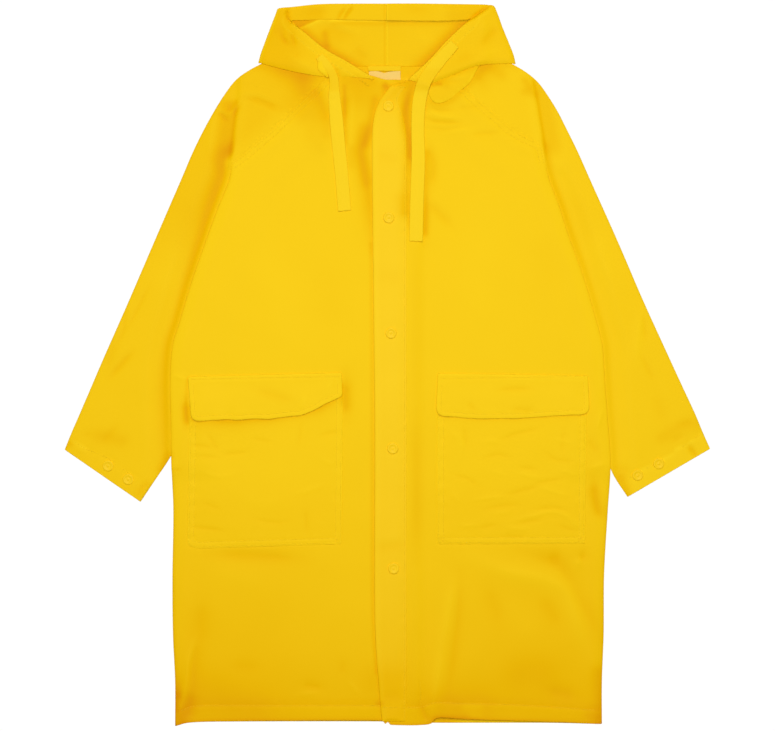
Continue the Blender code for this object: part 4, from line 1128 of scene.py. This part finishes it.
def make_pocket(side):
    """A patch pocket, with the shadow of its flap painted across its top."""
    outline = rounded(POCKET[side])
    creases = POCKET_CREASES[side]
    rows = [open_row(outline, by, 376) for by in (1.8, 7.0)]
    flat, faces = flat_mesh(outline, [*rows, *(curve(crease.line) for crease in creases)])

    def level(points):
        return patch_level(points, side, outline, creases, 0.5, rows)

    edge = edge_distance(flat, outline)
    doubled = 0.25 * (1 - ramp(edge, 6.5, 1.2))
    # Painted shadow under the flap's edge, painted highlights along the rows of stitches, and painted shade
    # on the lower half
    flap = flap_outline(side)
    dark, reach = (interpolate(FLAP_SHADOW[side], "x", part)(flat[:, 0]) for part in ("strength", "reach"))
    below = np.where(inside(flat, flap), 0, edge_distance(flat, flap))
    tone = painted_crease_shading(flat, creases) - dark * np.exp(-below / reach) * (0.6 + 0.4 * smooth(below / 1.5))
    tone = tone + 0.25 * bump(edge, 1.3, 1.0) + 0.12 * bump(edge, 6.5, 1.1)
    tone = tone - 0.16 * ramp(flat[:, 1], 290, -50)
    add_cloth("pocket_" + side, [panel(flat, faces, level(flat), doubled=doubled, tone=tone)])
    add_stitches("pocket_" + side, rows, level)


def flap_outline(side):
    """The flap's outline, counter-clockwise, with the soft waves of its loose lower edge."""
    outline = counter_clockwise(rounded(FLAP[side]))
    x, height = outline.T
    wave = interpolate(FLAP_WAVE[side], "x", "rise")(x) + 0.1 * np.sin(x / 2.9)
    return outline + np.column_stack([np.zeros(len(outline)), ramp(height, 380, -12) * wave])


def make_flap(side):
    """The flap is sewn on along its top edge and stands off the pocket below."""
    outline = flap_outline(side)
    creases = FLAP_CREASES[side]
    left, right = outline[:, 0].min(), outline[:, 0].max()
    top_row = curve([(left + 3, FLAP_TOP_STITCH[side] - 3), (right - 3, FLAP_TOP_STITCH[side])])
    rows = [open_row(outline, 5.0, 386), top_row]
    flat, faces = flat_mesh(outline, [*rows, *(curve(crease.line) for crease in creases)])

    def level(points):
        x, height = points.T
        waves = 0.2 * np.sin(x / 5.1 + 2 * np.sin(x / 31)) * ramp(height, 366, -20)
        lift = 1.5 + FLAP_RISE[side] * ramp(height, 388, -40) + waves
        return patch_level(points, side, outline, creases, lift, rows)

    edge = edge_distance(flat, outline)
    # Painted highlights along the flap's edge and stitches, and painted shade in its creases
    tone = painted_crease_shading(flat, creases) + 0.2 * bump(edge, 0, 1.5) + 0.1 * bump(edge, 4.8, 1.2)
    add_cloth("flap_" + side, [panel(flat, faces, level(flat), 1.0, 0.5, tone)])
    add_stitches("flap_" + side, rows, level)


def outside_body(points, side):
    """How far the points lie outside the body's side edge, negative within it."""
    outside = distance(points, SIDE[side])
    return np.where(inside(points, BACK_OUTLINE), -outside, outside)


def past_shoulder(points, side):
    """How far out the points lie past the fold that crosses the sleeve at the shoulder."""
    x, height = curve(side_points(SHOULDER_FOLD, side))[::-1].T
    return (points[:, 0] - np.interp(points[:, 1], height, x)) * SIGN[side]


def sleeve_top(points, side):
    """Height of a sleeve's outer face: low in the tuck under the front, full in the arm."""
    outside, past = outside_body(points, side), past_shoulder(points, side)
    arm = ramp(past, -1, 5) * (1 - 0.75 * ramp(past, 10, 18))
    shoulder = TUCK_TOP + 0.35 + 1.05 * ramp(outside, -3.0, 1.8) - 1.6 * arm * smooth(outside / 3)
    valley = TUCK_TOP - 1.6 * smooth(outside / 7) + 2.6 * ramp(outside, 9, 20)
    top = valley + (shoulder - valley) * ramp(points[:, 1], 612, 22)
    soft = 0.32 * undulation(points + 300) + creased(points, SLEEVE_CREASES[side])
    return top + soft * ramp(outside, 4, 10)


def sleeve_bottom(points, side):
    """A sleeve lies on the floor, and on the back panel where it is tucked under the front."""
    return (STEP + 0.15) * ramp(outside_body(points, side), 9, -8)


def painted_sleeve_shading(points, side):
    """Painted shade in the hollow by the body, at the shoulder's fold and in creases, and painted highlights.
    """
    outside, past = outside_body(points, side), past_shoulder(points, side)
    height = points[:, 1]
    columns = (side, side + "_place", side + "_width")
    strength, centre, width = (interpolate(VALLEY, "height", column)(height) for column in columns)
    hollow = bump(outside, centre, np.where(outside < centre, VALLEY_INNER_WIDTH[side], width))
    tone = -strength * (1 - ramp(height, 626, 14) * (1 - ramp(past, -3, 4))) * hollow
    tone = tone * ramp(height, 672, -30)
    high = ramp(height, 632, 20) * ramp(height, SHOULDER_TOP[side], -8)
    place, sharp, broad = SHOULDER_SHADE[side]
    tone = tone - high * sharp * bump(past, place, 2.2)
    tone = tone - high * broad * smooth(past / 3) * (1 - ramp(past, 12, 14))
    tone = tone + 0.1 * high * bump(past, -6, 4)
    tone = tone - (0.15 + 0.25 * ramp(height, 500, 90) * smooth(outside / 20) if side == "right" else 0.05)
    down = beyond(points, curve(CUFF_STITCH[side]))
    tone = tone + 0.25 * bump(down, 0.9, 0.9) - CUFF_SHADE[side] * smooth(down / 2)
    return tone + painted_crease_shading(points, SLEEVE_CREASES[side]) + shade_tone(points, SHADES)


def beyond(points, line):
    """How far the points lie past the cuff's stitched line, towards the hand."""
    start, end = line[0], line[-1]
    along = (end - start) / np.linalg.norm(end - start)
    down = np.array([along[1], -along[0]]) * (1 if along[0] > 0 else -1)
    return np.where((points - start) @ down > 0, 1, -1) * distance(points, line)


def make_sleeve(side):
    """A flattened tube of rings, from the neck down to the cuff."""
    sections = curve(SLEEVE[side], 3.2)
    outer, inner = sections[:, :2], sections[:, 2:]
    reach = np.linalg.norm(inner - outer, axis=1)
    across = unit(inner - outer)
    places = 3.4 + np.linspace(0, 1, 42)[None] * (reach - 6.4)[:, None]
    upper = outer[:, None] + places[:, :, None] * across[:, None]
    cuff = curve(CUFF_STITCH[side])

    def level(points):
        hem = HEM_RAISE * smooth(beyond(points, cuff) / 1.2 + 0.5)
        return sleeve_top(points, side) + hem + sewn(points, [cuff])

    def fold(tip, way):
        """The round fold from the lower layer up to the upper one."""
        bottom = sleeve_bottom(tip, side)
        radius = ((level(tip) - bottom) / 2)[:, None]
        flat = tip[:, None] - way[:, None] * (radius * (1 - np.cos(FOLD_TURNS)))[:, :, None]
        return np.dstack([flat, bottom[:, None] + radius + radius * np.sin(FOLD_TURNS)])

    lower = raised(upper[:, ::-2], lambda points: sleeve_bottom(points, side))
    rings = [raised(upper, level), fold(inner, across)[:, ::-1], lower, fold(outer, -across)]
    rings = rimmed(np.concatenate(rings, axis=1), 1)
    faces = grid_faces(*rings.shape[:2], closed=True)
    points = rings.reshape(-1, 3)
    doubled = smooth(beyond(points[:, :2], cuff) / 1.2 + 0.5)
    tone = painted_sleeve_shading(points[:, :2], side)
    wall = shell(points, faces[:, ::-1] if side == "right" else faces, doubled=doubled, tone=tone)
    add_cloth("sleeve_" + side, [wall])
    add_stitches("sleeve_" + side, [cuff], level)


def on_band(points, side):
    """Where the strip above the opening is, from 0 to 1, and how far the points lie past its end."""
    (x, height), (end_x, end_height) = BAND_END[side]
    run, rise = end_x - x, end_height - height
    past = SIGN[side] * ((points[:, 0] - x) * rise - (points[:, 1] - height) * run) / math.hypot(run, rise)
    return ramp(points[:, 1], 784, 4) * (1 - ramp(past, -1, 3)), past


def crease_height(x):
    """Height of the line at which the wearer's left hood half turns over, as a function of x."""
    crease = curve(HOOD_CREASE)[::-1]
    return np.interp(x, crease[:, 0], crease[:, 1])


def hood_level(points, side, rows):
    """Height of the hood's upper layer's outer face, raised where it lies over the fronts and sleeves."""
    x, height = points.T
    level = SOLID_WALL + HOOD_BASE + (HOOD_OVER_NECK - HOOD_BASE) * (1 - ramp(height, 742, 22))
    if side == "left":
        level = level + 1.3 * smooth((height - crease_height(x) + 4) / 8) * ramp(x, 122, -16)
    fold, hem, opening = (distance(points, line[side]) for line in (HOOD_FOLD, HOOD_HEM_LINE, HOOD_OPENING))
    soft = 0.3 * undulation(points - 200) + creased(points, HOOD_CREASES[side])
    level = level + soft * smooth(np.minimum(fold, np.minimum(hem, opening)) / 8)
    level = level - 1.2 * rim(fold, 9) - 1.3 * rim(hem, 7)
    level = level - 0.25 * rim(opening, 2) - 2.7 * on_band(points, side)[0]
    strip = (1 - ramp(opening, 10.5, 1.4)) * ramp(height, 792, -8)
    return level + HEM_RAISE * strip + sewn(points, rows, 0.2)


def inside_level(points):
    """Height of the inner face of the hood's lower layer, which shows in the opening."""
    out, height = np.abs(points[:, 0]), points[:, 1]
    bulge = 1.1 * smooth(out / 30) * ramp(out, 136, -40)
    bulge = bulge * ramp(height, 741, 16) * ramp(height, 806, -14)
    soft = creased(points, INSIDE_CREASES) + 0.25 * undulation(points + 90)
    soft = soft + 0.5 * bump(height, 789, 8) * (1 - smooth(out / 60))
    seam = 0.15 * bump(out, 0, 3)
    return CLOTH + np.maximum(0, bulge + (soft + seam) * ramp(height, 741, 10))


def hood_grid(side, level):
    """Half the hood, from the centre seam out below, over the fold and back above, as a grid of points.

    The second value is the number of the column at which the upper layer starts.
    """
    sign = SIGN[side]
    sections = curve(HOOD[side], 2.0)
    fold, edge = sections[:, :2], sections[:, 2:4]
    seam = np.column_stack([np.full(len(sections), sign * CENTRE_SEAM), sections[:, 4]])
    bend = rim(lengths(fold), 70)[:, None, None]

    def fanned(start, end, shares, first):
        """Straight lines from start to end, bent towards the first section's own line."""
        grid = start[:, None] + shares[None, :, None] * (end - start)[:, None]
        return grid + bend * (first - grid[0])[None]

    out, reach = unit(fold - seam), np.linalg.norm(fold - seam, axis=1)[:, None]
    neck = curve([(row.x * sign, row.height) for row in NECK])
    shares = np.r_[SEAM_SHARES, np.linspace(0.058, 1, 58)]
    neck_places = CENTRE_SEAM + shares * (abs(neck[-1, 0]) - 2 - CENTRE_SEAM)
    neck_line = resample(neck, np.abs(neck[:, 0]), neck_places)
    lower = fanned(seam, fold - out * np.minimum(4, reach / 2), shares, neck_line)
    hem = HOOD_HEM_LINE[side]
    hem_line = resample(hem, lengths(hem), np.linspace(4, lengths(hem)[-1], 60))
    back, span = unit(edge - fold), np.linalg.norm(edge - fold, axis=1)[:, None]
    upper = fanned(fold + back * np.minimum(4, span * 0.3), edge, np.linspace(0, 1, 60), hem_line)
    radius = (level(fold) / 2)[:, None]
    inward = (np.minimum(radius, 3.0) * (1 - np.cos(FOLD_TURNS)))[:, :, None]
    around = np.dstack([fold[:, None] - out[:, None] * inward, radius * (1 + np.sin(FOLD_TURNS))])
    low = raised(lower, lambda points: inside_level(points) - CLOTH)
    grid = rimmed(np.concatenate([low, around, raised(upper, level)], axis=1))
    return grid, low.shape[1] + around.shape[1] + 1


def painted_outer_hood_shading(flat, side):
    """Painted light and shade on the hood's upper layer."""
    x = flat[:, 0]
    opening = distance(flat, HOOD_OPENING[side])
    band, past = on_band(flat, side)
    tone = painted_crease_shading(flat, HOOD_CREASES[side]) - 0.3 * band * ramp(np.abs(x), 60, 16)
    if side == "left":
        tone = tone - 0.05 * band * bump(past, 0, 7)
    else:
        tone = tone - 0.4 * (1 - band) * smooth((-x - 78) / 34)
    for place in HOOD_ROWS:
        tone = tone + 0.2 * (1 - band) * bump(opening, place, 1.1)
    return tone


def painted_inner_hood_shading(flat, side):
    """Painted shade on the lower layer, which lies in the shade of the opening's edge, with painted
    highlights.
    """
    x, height = flat.T
    highest, reach = OPENING_SHADE[side]
    opening = HOOD_OPENING[side]
    tone = painted_crease_shading(flat, INSIDE_CREASES) + shade_tone(flat, INSIDE_SHADES)
    tone = tone - 1.0 * bump(distance(flat, opening[opening[:, 1] < highest]), 0, reach)
    under_band = ramp(x, -66, 8) * (1 - ramp(x, 88, 10))
    tone = tone + under_band * (0.9 * bump(height, 790.5, 1.6) - 0.35 * bump(height, 787, 3.2))
    if side == "right":
        from_ridge = distance(flat, HOOD_HOLLOW[1:])
        hollow = inside(flat, np.array(HOOD_HOLLOW))
        tone = tone + np.where(hollow, -1.2 * smooth(from_ridge / 1.5), 0.3 * bump(from_ridge, 0, 2.2))
    return tone


def make_hood(side):
    """Half the hood, with the roll under its crease on the left and the tie's fold on the right."""
    opening = HOOD_OPENING[side]
    rows = [inset(opening, -by, SIGN[side]) for by in HOOD_ROWS]
    rows = [row[(np.abs(row[:, 0]) > 3) & (row[:, 1] < 786)] for row in rows]

    def level(points):
        return hood_level(points, side, rows)

    grid, upper_start = hood_grid(side, level)
    count, size = grid.shape[:2]
    faces = grid_faces(count, size)
    points = grid.reshape(-1, 3)
    flat = points[:, :2]
    above = np.tile(np.arange(size) >= upper_start, count)
    strip = (1 - ramp(distance(flat, opening), 10.5, 1.4)) * ramp(flat[:, 1], 788, -8)
    # Painted highlight and shade along the centre seam, and a painted shade over the whole hood
    seam_light = sum(light * bump(flat[:, 0], place, width) for place, width, light in HOOD_SEAM_PAINTED_LIGHT)
    tone = np.where(above, painted_outer_hood_shading(flat, side), painted_inner_hood_shading(flat, side)) + seam_light - 0.3
    doubled = np.where(above, strip, 0)
    wall = shell(points, faces[:, ::-1] if side == "left" else faces, doubled=doubled, tone=tone)
    add_cloth("hood_" + side, [wall, hood_roll() if side == "left" else tie_fold()])
    add_stitches("hood_" + side, rows, level)


def closed_curve(points, spacing):
    """A smooth closed outline through the points, counter-clockwise."""
    return counter_clockwise(curve(points + points[:1], spacing)[:-1])


def hood_roll():
    """The roll of the hood's own cloth under its crease, full in the middle and turned under below."""
    outline = closed_curve(HOOD_ROLL, 2.4)
    folds = [fold._replace(line=curve(fold.line)) for fold in ROLL_FOLDS]
    flat, faces = flat_mesh(outline, [fold.line for fold in folds])
    edge = edge_distance(flat, outline)
    above = flat[:, 1] > crease_height(flat[:, 0])
    rise = 0.5 * smooth(edge / 13) - 0.6 * rim(edge, 4)
    height = 6.7 + np.where(above, -0.9, rise) + creased(flat, folds) + 0.15 * undulation(flat * 2)
    # Painted shade under the crease and in the folds, and a painted highlight along the roll's edge
    tone = painted_crease_shading(flat, folds) - 0.5 * bump(distance(flat, curve(HOOD_CREASE)), 0, 3.5) - 0.25
    tone = tone + 0.35 * bump(edge, 1.4, 1.0)
    for shade in ROLL_SHADES:
        tone = tone - shade.strength * bump(distance(flat, shade.line), 0, shade.half_width)
    return panel(flat, faces, height, tone=tone)


def tie_fold():
    """The small fold that stands up on the hood's hem beside the right tie."""
    outline = closed_curve(TIE_FOLD, 1.2)
    flat, faces = flat_mesh(outline, spacing=1.5)
    edge = edge_distance(flat, outline)
    height = hood_level(flat, "right", []) + 0.8 + 0.5 * smooth(edge / 3)
    # Painted highlight on the fold and painted shade beside it
    tone = 0.2 * smooth(edge / 2) - 0.35 * smooth((flat[:, 0] + 0.28 * (flat[:, 1] - 738) + 71) / 3)
    return panel(flat, faces, height, tone=tone)


def over_neighbours(values, reach, choose):
    """What choose, such as the maximum, makes of each value and its neighbours within reach."""
    padded = np.pad(values, reach, mode="edge")
    return choose([padded[shift : shift + len(values)] for shift in range(2 * reach + 1)], axis=0)


def tie_top(line, across, side):
    """Height of a tape's underside: just above the highest cloth under each stretch of it."""
    highest = []
    for place in (-1.2, -0.6, 0, 0.6, 1.2):
        points = line + across * place
        on_hood = inside(points, HOOD_OUTLINE[side]) | (distance(points, HOOD_OUTLINE[side]) < 3)
        highest.append(np.where(on_hood, hood_level(points, side, []), panel_top(points)))
    highest = over_neighbours(np.max(highest, axis=0), 3, np.max)
    return over_neighbours(highest, 2, np.mean) + 0.15


def make_tie(side):
    """A flat tape from its sewn end on the hood down to its free end."""
    rows = curve(TIE[side], 2.5)
    along = lengths(rows)
    widths = TAPE_WIDTH * np.interp(along, *zip(*TIE_WIDTHS[side]))
    across = -turned(np.gradient(rows, axis=0)) * widths[:, None] / 2
    levels = tie_top(rows, across, side)
    for place, half_width, rise in TIE_BENDS[side]:
        levels = levels + rise * bump(along, place, half_width)
    shares = np.array([-1, -0.95, -0.82, -0.74, -0.66, -0.4, 0, 0.4, 0.66, 0.74, 0.82, 0.95, 1])
    profile = 1.0 - 0.3 * np.abs(shares) ** 8 - 0.16 * bump(np.abs(shares), 0.74, 0.06)
    twill = 0.06 * np.sin(along[:, None] / 1.9 + 3 * shares[None])
    flat = rows[:, None] + shares[None, :, None] * across[:, None]
    grid = rimmed(np.dstack([flat, levels[:, None] + profile[None] + twill]))
    points, faces = grid.reshape(-1, 3), grid_faces(*grid.shape[:2])
    a, b, c = (points[faces[:, corner]] for corner in range(3))
    if np.cross(b - a, c - a)[:, 2].sum() < 0:
        faces = faces[:, ::-1]
    # Painted shade on the tape's upper stretch, below the hood's hem
    shade = ramp(points[:, 1], 707, 6) * (1 - 0.7 * ramp(points[:, 1], 732, 6))
    wall = shell(points, faces, 0.7, doubled=1.0, tone=-0.35 * shade)
    made = add_piece("tape_tie_" + side, [wall], TIE_FINISH, "tie_" + side)


def make_neck():
    """The hanger loop and the bare label inside the back neck."""
    left, right, top, bottom = HANGER_LOOP
    corners = [(left, bottom), (right, bottom), (right, top), (left, top)]
    flat, faces = flat_mesh(rounded(table(CORNER, *((x, height, 0.6) for x, height in corners)), 1.5))
    arch = np.sin(np.clip((flat[:, 0] - left) / (right - left), 0, 1) * math.pi)
    across = np.clip((flat[:, 1] - bottom) / (top - bottom), 0, 1)
    level = 1.9 + 0.3 * arch + 0.15 * np.sqrt(np.sin(across * math.pi).clip(0))
    # The loop gets painted shade, as it lies in the shade under the hood
    loop = panel(flat, faces, level, 0.7, tone=-0.3)
    add_piece("tape_hanger_loop", [loop], TIE_FINISH, "hanger_loop")
    flat, faces = flat_mesh(np.vstack([LABEL_BOTTOM, curve(LABEL_TOP, 1.5)[::-1]]))
    label = panel(flat, faces, 2.0 + 0.25 * np.sin(flat[:, 0] / 5.5 + 0.6), 0.5)
    add_piece("tape_neck_label", [label], LABEL_FINISH, "neck_label")


def make_snap(node, place, level, tone=0.0):
    """A press snap's cap, turned: a rim, a dished middle and a small centre dot."""
    top, *rings, bottom = CAP_PROFILE
    radii, heights = np.array(rings).T[:, :, None]
    steps = 40
    turns = np.arange(steps) * 2 * math.pi / steps
    z = np.repeat(heights + level, steps, axis=1)
    around = np.dstack([radii * np.cos(turns) + place[0], radii * np.sin(turns) + place[1], z])
    points = np.vstack([around.reshape(-1, 3), [(*place, top[1] + level), (*place, bottom[1] + level)]])
    sectors = [(step, (step + 1) % steps) for step in range(steps)]
    starts = [ring * steps for ring in range(len(rings))]
    faces = [[lo + i, hi + i, hi + j, lo + j] for lo, hi in zip(starts, starts[1:]) for i, j in sectors]
    faces += [[len(points) - 2, i, j] for i, j in sectors]
    faces += [[len(points) - 1, starts[-1] + j, starts[-1] + i] for i, j in sectors]
    shares = np.tile([0.0, tone], (len(points), 1))
    add_piece("cap_" + node, [(points, faces, shares)], SNAP_FINISH, node)


def make_snaps():
    """The five snaps of the placket and the two of each cuff, sunk into the cloth."""
    for number, (place, sunk) in enumerate(zip(PLACKET_SNAPS, SNAP_SUNK), 1):
        level = front_top(np.array([place], float), "left")[0] + OVER_FRONT
        make_snap(f"placket_snap_{number}", place, level - sunk)
    for side, places in CUFF_SNAPS.items():
        for number, place in enumerate(places, 1):
            level = sleeve_top(np.array([place], float), side)[0]
            # The cuff snaps' caps get painted shade
            make_snap(f"cuff_snap_{side}_{number}", place, level - 1.1, -0.35)


# Finishes --------------------------------------------------------------------------------------------


def finish(name, colour, roughness, specular, grain, doubled, clouds):
    """A material with a fine grain, faint clouds, a second colour where doubled, and painted shading."""
    made = bpy.data.materials.new(name)
    made.use_nodes = True
    nodes, links = made.node_tree.nodes, made.node_tree.links
    shader = nodes["Principled BSDF"]
    shader.inputs["Base Color"].default_value = (*colour, 1)
    shader.inputs["Roughness"].default_value = roughness
    shader.inputs["Specular IOR Level"].default_value = specular

    def node(kind, output, inputs, **settings):
        """The output of a new node whose inputs are values or other nodes' outputs."""
        added = nodes.new("ShaderNode" + kind)
        for setting, value in settings.items():
            setattr(added, setting, value)
        for socket, value in inputs.items():
            if isinstance(value, bpy.types.NodeSocket):
                links.new(value, added.inputs[socket])
            else:
                added.inputs[socket].default_value = value
        return added.outputs[output]

    place = node("TexCoord", "Object", {})
    if grain:
        fine = node("TexNoise", "Fac", {"Vector": place, "Scale": 850, "Detail": 2})
        normal = node("Bump", "Normal", {"Height": fine, "Strength": grain, "Distance": 0.0002})
        links.new(normal, shader.inputs["Normal"])
    if clouds:
        # Painted light and shade: each point's painted shading darkens or lightens the colour
        tone = {0: node("Attribute", "Fac", {}, attribute_name="tone"), 1: PAINTED_SHADING_REACH, 2: (1, 1, 1)}
        share = node("Attribute", "Fac", {}, attribute_name="doubled")
        colours = {"Factor": share, "A": (*colour, 1), "B": (*(doubled or colour), 1)}
        mixed = node("Mix", "Result", colours, data_type="RGBA")
        broad = node("TexNoise", "Fac", {"Vector": place, "Scale": 22, "Detail": 3})
        cloudy = node("MapRange", "Result", {"Value": broad, "To Min": 1 - clouds, "To Max": 1 + clouds})
        clouded = node("VectorMath", "Vector", {0: mixed, 1: cloudy}, operation="MULTIPLY")
        painted_shading_factor = node("VectorMath", "Vector", tone, operation="MULTIPLY_ADD")
        least = node("VectorMath", "Vector", {0: painted_shading_factor}, operation="MAXIMUM")
        colour_with_painted_shading = node("VectorMath", "Vector", {0: clouded, 1: least}, operation="MULTIPLY")
        links.new(colour_with_painted_shading, shader.inputs["Base Color"])
    return made


def add_area(name, place, size, power, target):
    """A square lamp that points at its target."""
    lamp = bpy.data.lights.new(name, "AREA")
    lamp.size = size
    lamp.energy = power
    made = bpy.data.objects.new(name, lamp)
    made.location = place
    made.rotation_euler = (Vector(target) - Vector(place)).to_track_quat("-Z", "Y").to_euler()
    made.visible_camera = False
    bpy.context.scene.collection.objects.link(made)


def add_camera():
    """The camera looks straight down on the coat."""
    camera = bpy.data.objects.new("camera", bpy.data.cameras.new("camera"))
    camera.data.sensor_width = SENSOR_WIDTH
    camera.data.lens = SENSOR_WIDTH * CAMERA_PLACE[2] / VIEW_WIDTH
    camera.data.clip_start, camera.data.clip_end = 0.1, 60
    camera.location = CAMERA_PLACE
    bpy.context.scene.collection.objects.link(camera)
    bpy.context.scene.camera = camera


def add_floor():
    """A wide white floor that gives light and takes no shadow."""
    mesh = bpy.data.meshes.new("floor")
    corners = [(-1, -1), (1, -1), (1, 1), (-1, 1)]
    mesh.from_pydata([(FLOOR_REACH * x, FLOOR_REACH * y, FLOOR_Z) for x, y in corners], [], [(0, 1, 2, 3)])
    made = bpy.data.objects.new("floor", mesh)
    bpy.context.scene.collection.objects.link(made)
    white = bpy.data.materials.new("white_floor")
    white.use_nodes = True
    shader = white.node_tree.nodes["Principled BSDF"]
    shader.inputs["Base Color"].default_value = (0, 0, 0, 1)
    shader.inputs["Specular IOR Level"].default_value = 0
    shader.inputs["Emission Color"].default_value = (1, 1, 1, 1)
    shader.inputs["Emission Strength"].default_value = FLOOR_LIGHT
    mesh.materials.append(white)


# The scene -------------------------------------------------------------------------------------------

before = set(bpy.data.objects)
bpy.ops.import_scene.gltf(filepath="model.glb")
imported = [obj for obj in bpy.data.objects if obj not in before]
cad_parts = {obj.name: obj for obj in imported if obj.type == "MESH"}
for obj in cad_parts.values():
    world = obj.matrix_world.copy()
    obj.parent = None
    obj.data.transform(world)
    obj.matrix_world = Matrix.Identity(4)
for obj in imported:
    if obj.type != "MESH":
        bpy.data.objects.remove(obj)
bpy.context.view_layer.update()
bpy.context.scene.view_settings.view_transform = "Standard"
add_camera()
MADE_FINISHES = [finish(*row) for row in FINISHES]
CLOTH_FINISH, TRIM_FINISH, TIE_FINISH, THREAD_FINISH, SNAP_FINISH, LABEL_FINISH = MADE_FINISHES

HOOD_FOLD = {side: curve([(row.fold_x, row.fold_height) for row in HOOD[side]], 5.0) for side in SIDES}
HOOD_OPENING = {side: curve([(row.edge_x, row.edge_height) for row in HOOD[side]], 2.5) for side in SIDES}
HOOD_HEM_LINE = {side: curve(HOOD_HEM[side]) for side in SIDES}
HOOD_OUTLINE = {
    side: np.vstack([HOOD_HEM_LINE[side], HOOD_OPENING[side], HOOD_FOLD[side][::-1]]) for side in SIDES
}

for wearer_side in SIDES:
    make_tie(wearer_side)
for wearer_side in SIDES:
    make_front(wearer_side)
    make_sleeve(wearer_side)
    make_hood(wearer_side)
    make_pocket(wearer_side)
    make_flap(wearer_side)
make_back()
make_placket()
make_snaps()
make_neck()

add_floor()
for lamp_row in LAMPS:
    add_area(*lamp_row)
world = bpy.data.worlds.new("world")
bpy.context.scene.world = world
world.use_nodes = True
world.node_tree.nodes["Background"].inputs["Color"].default_value = (1, 1, 1, 1)
world.node_tree.nodes["Background"].inputs["Strength"].default_value = SKY_LIGHT
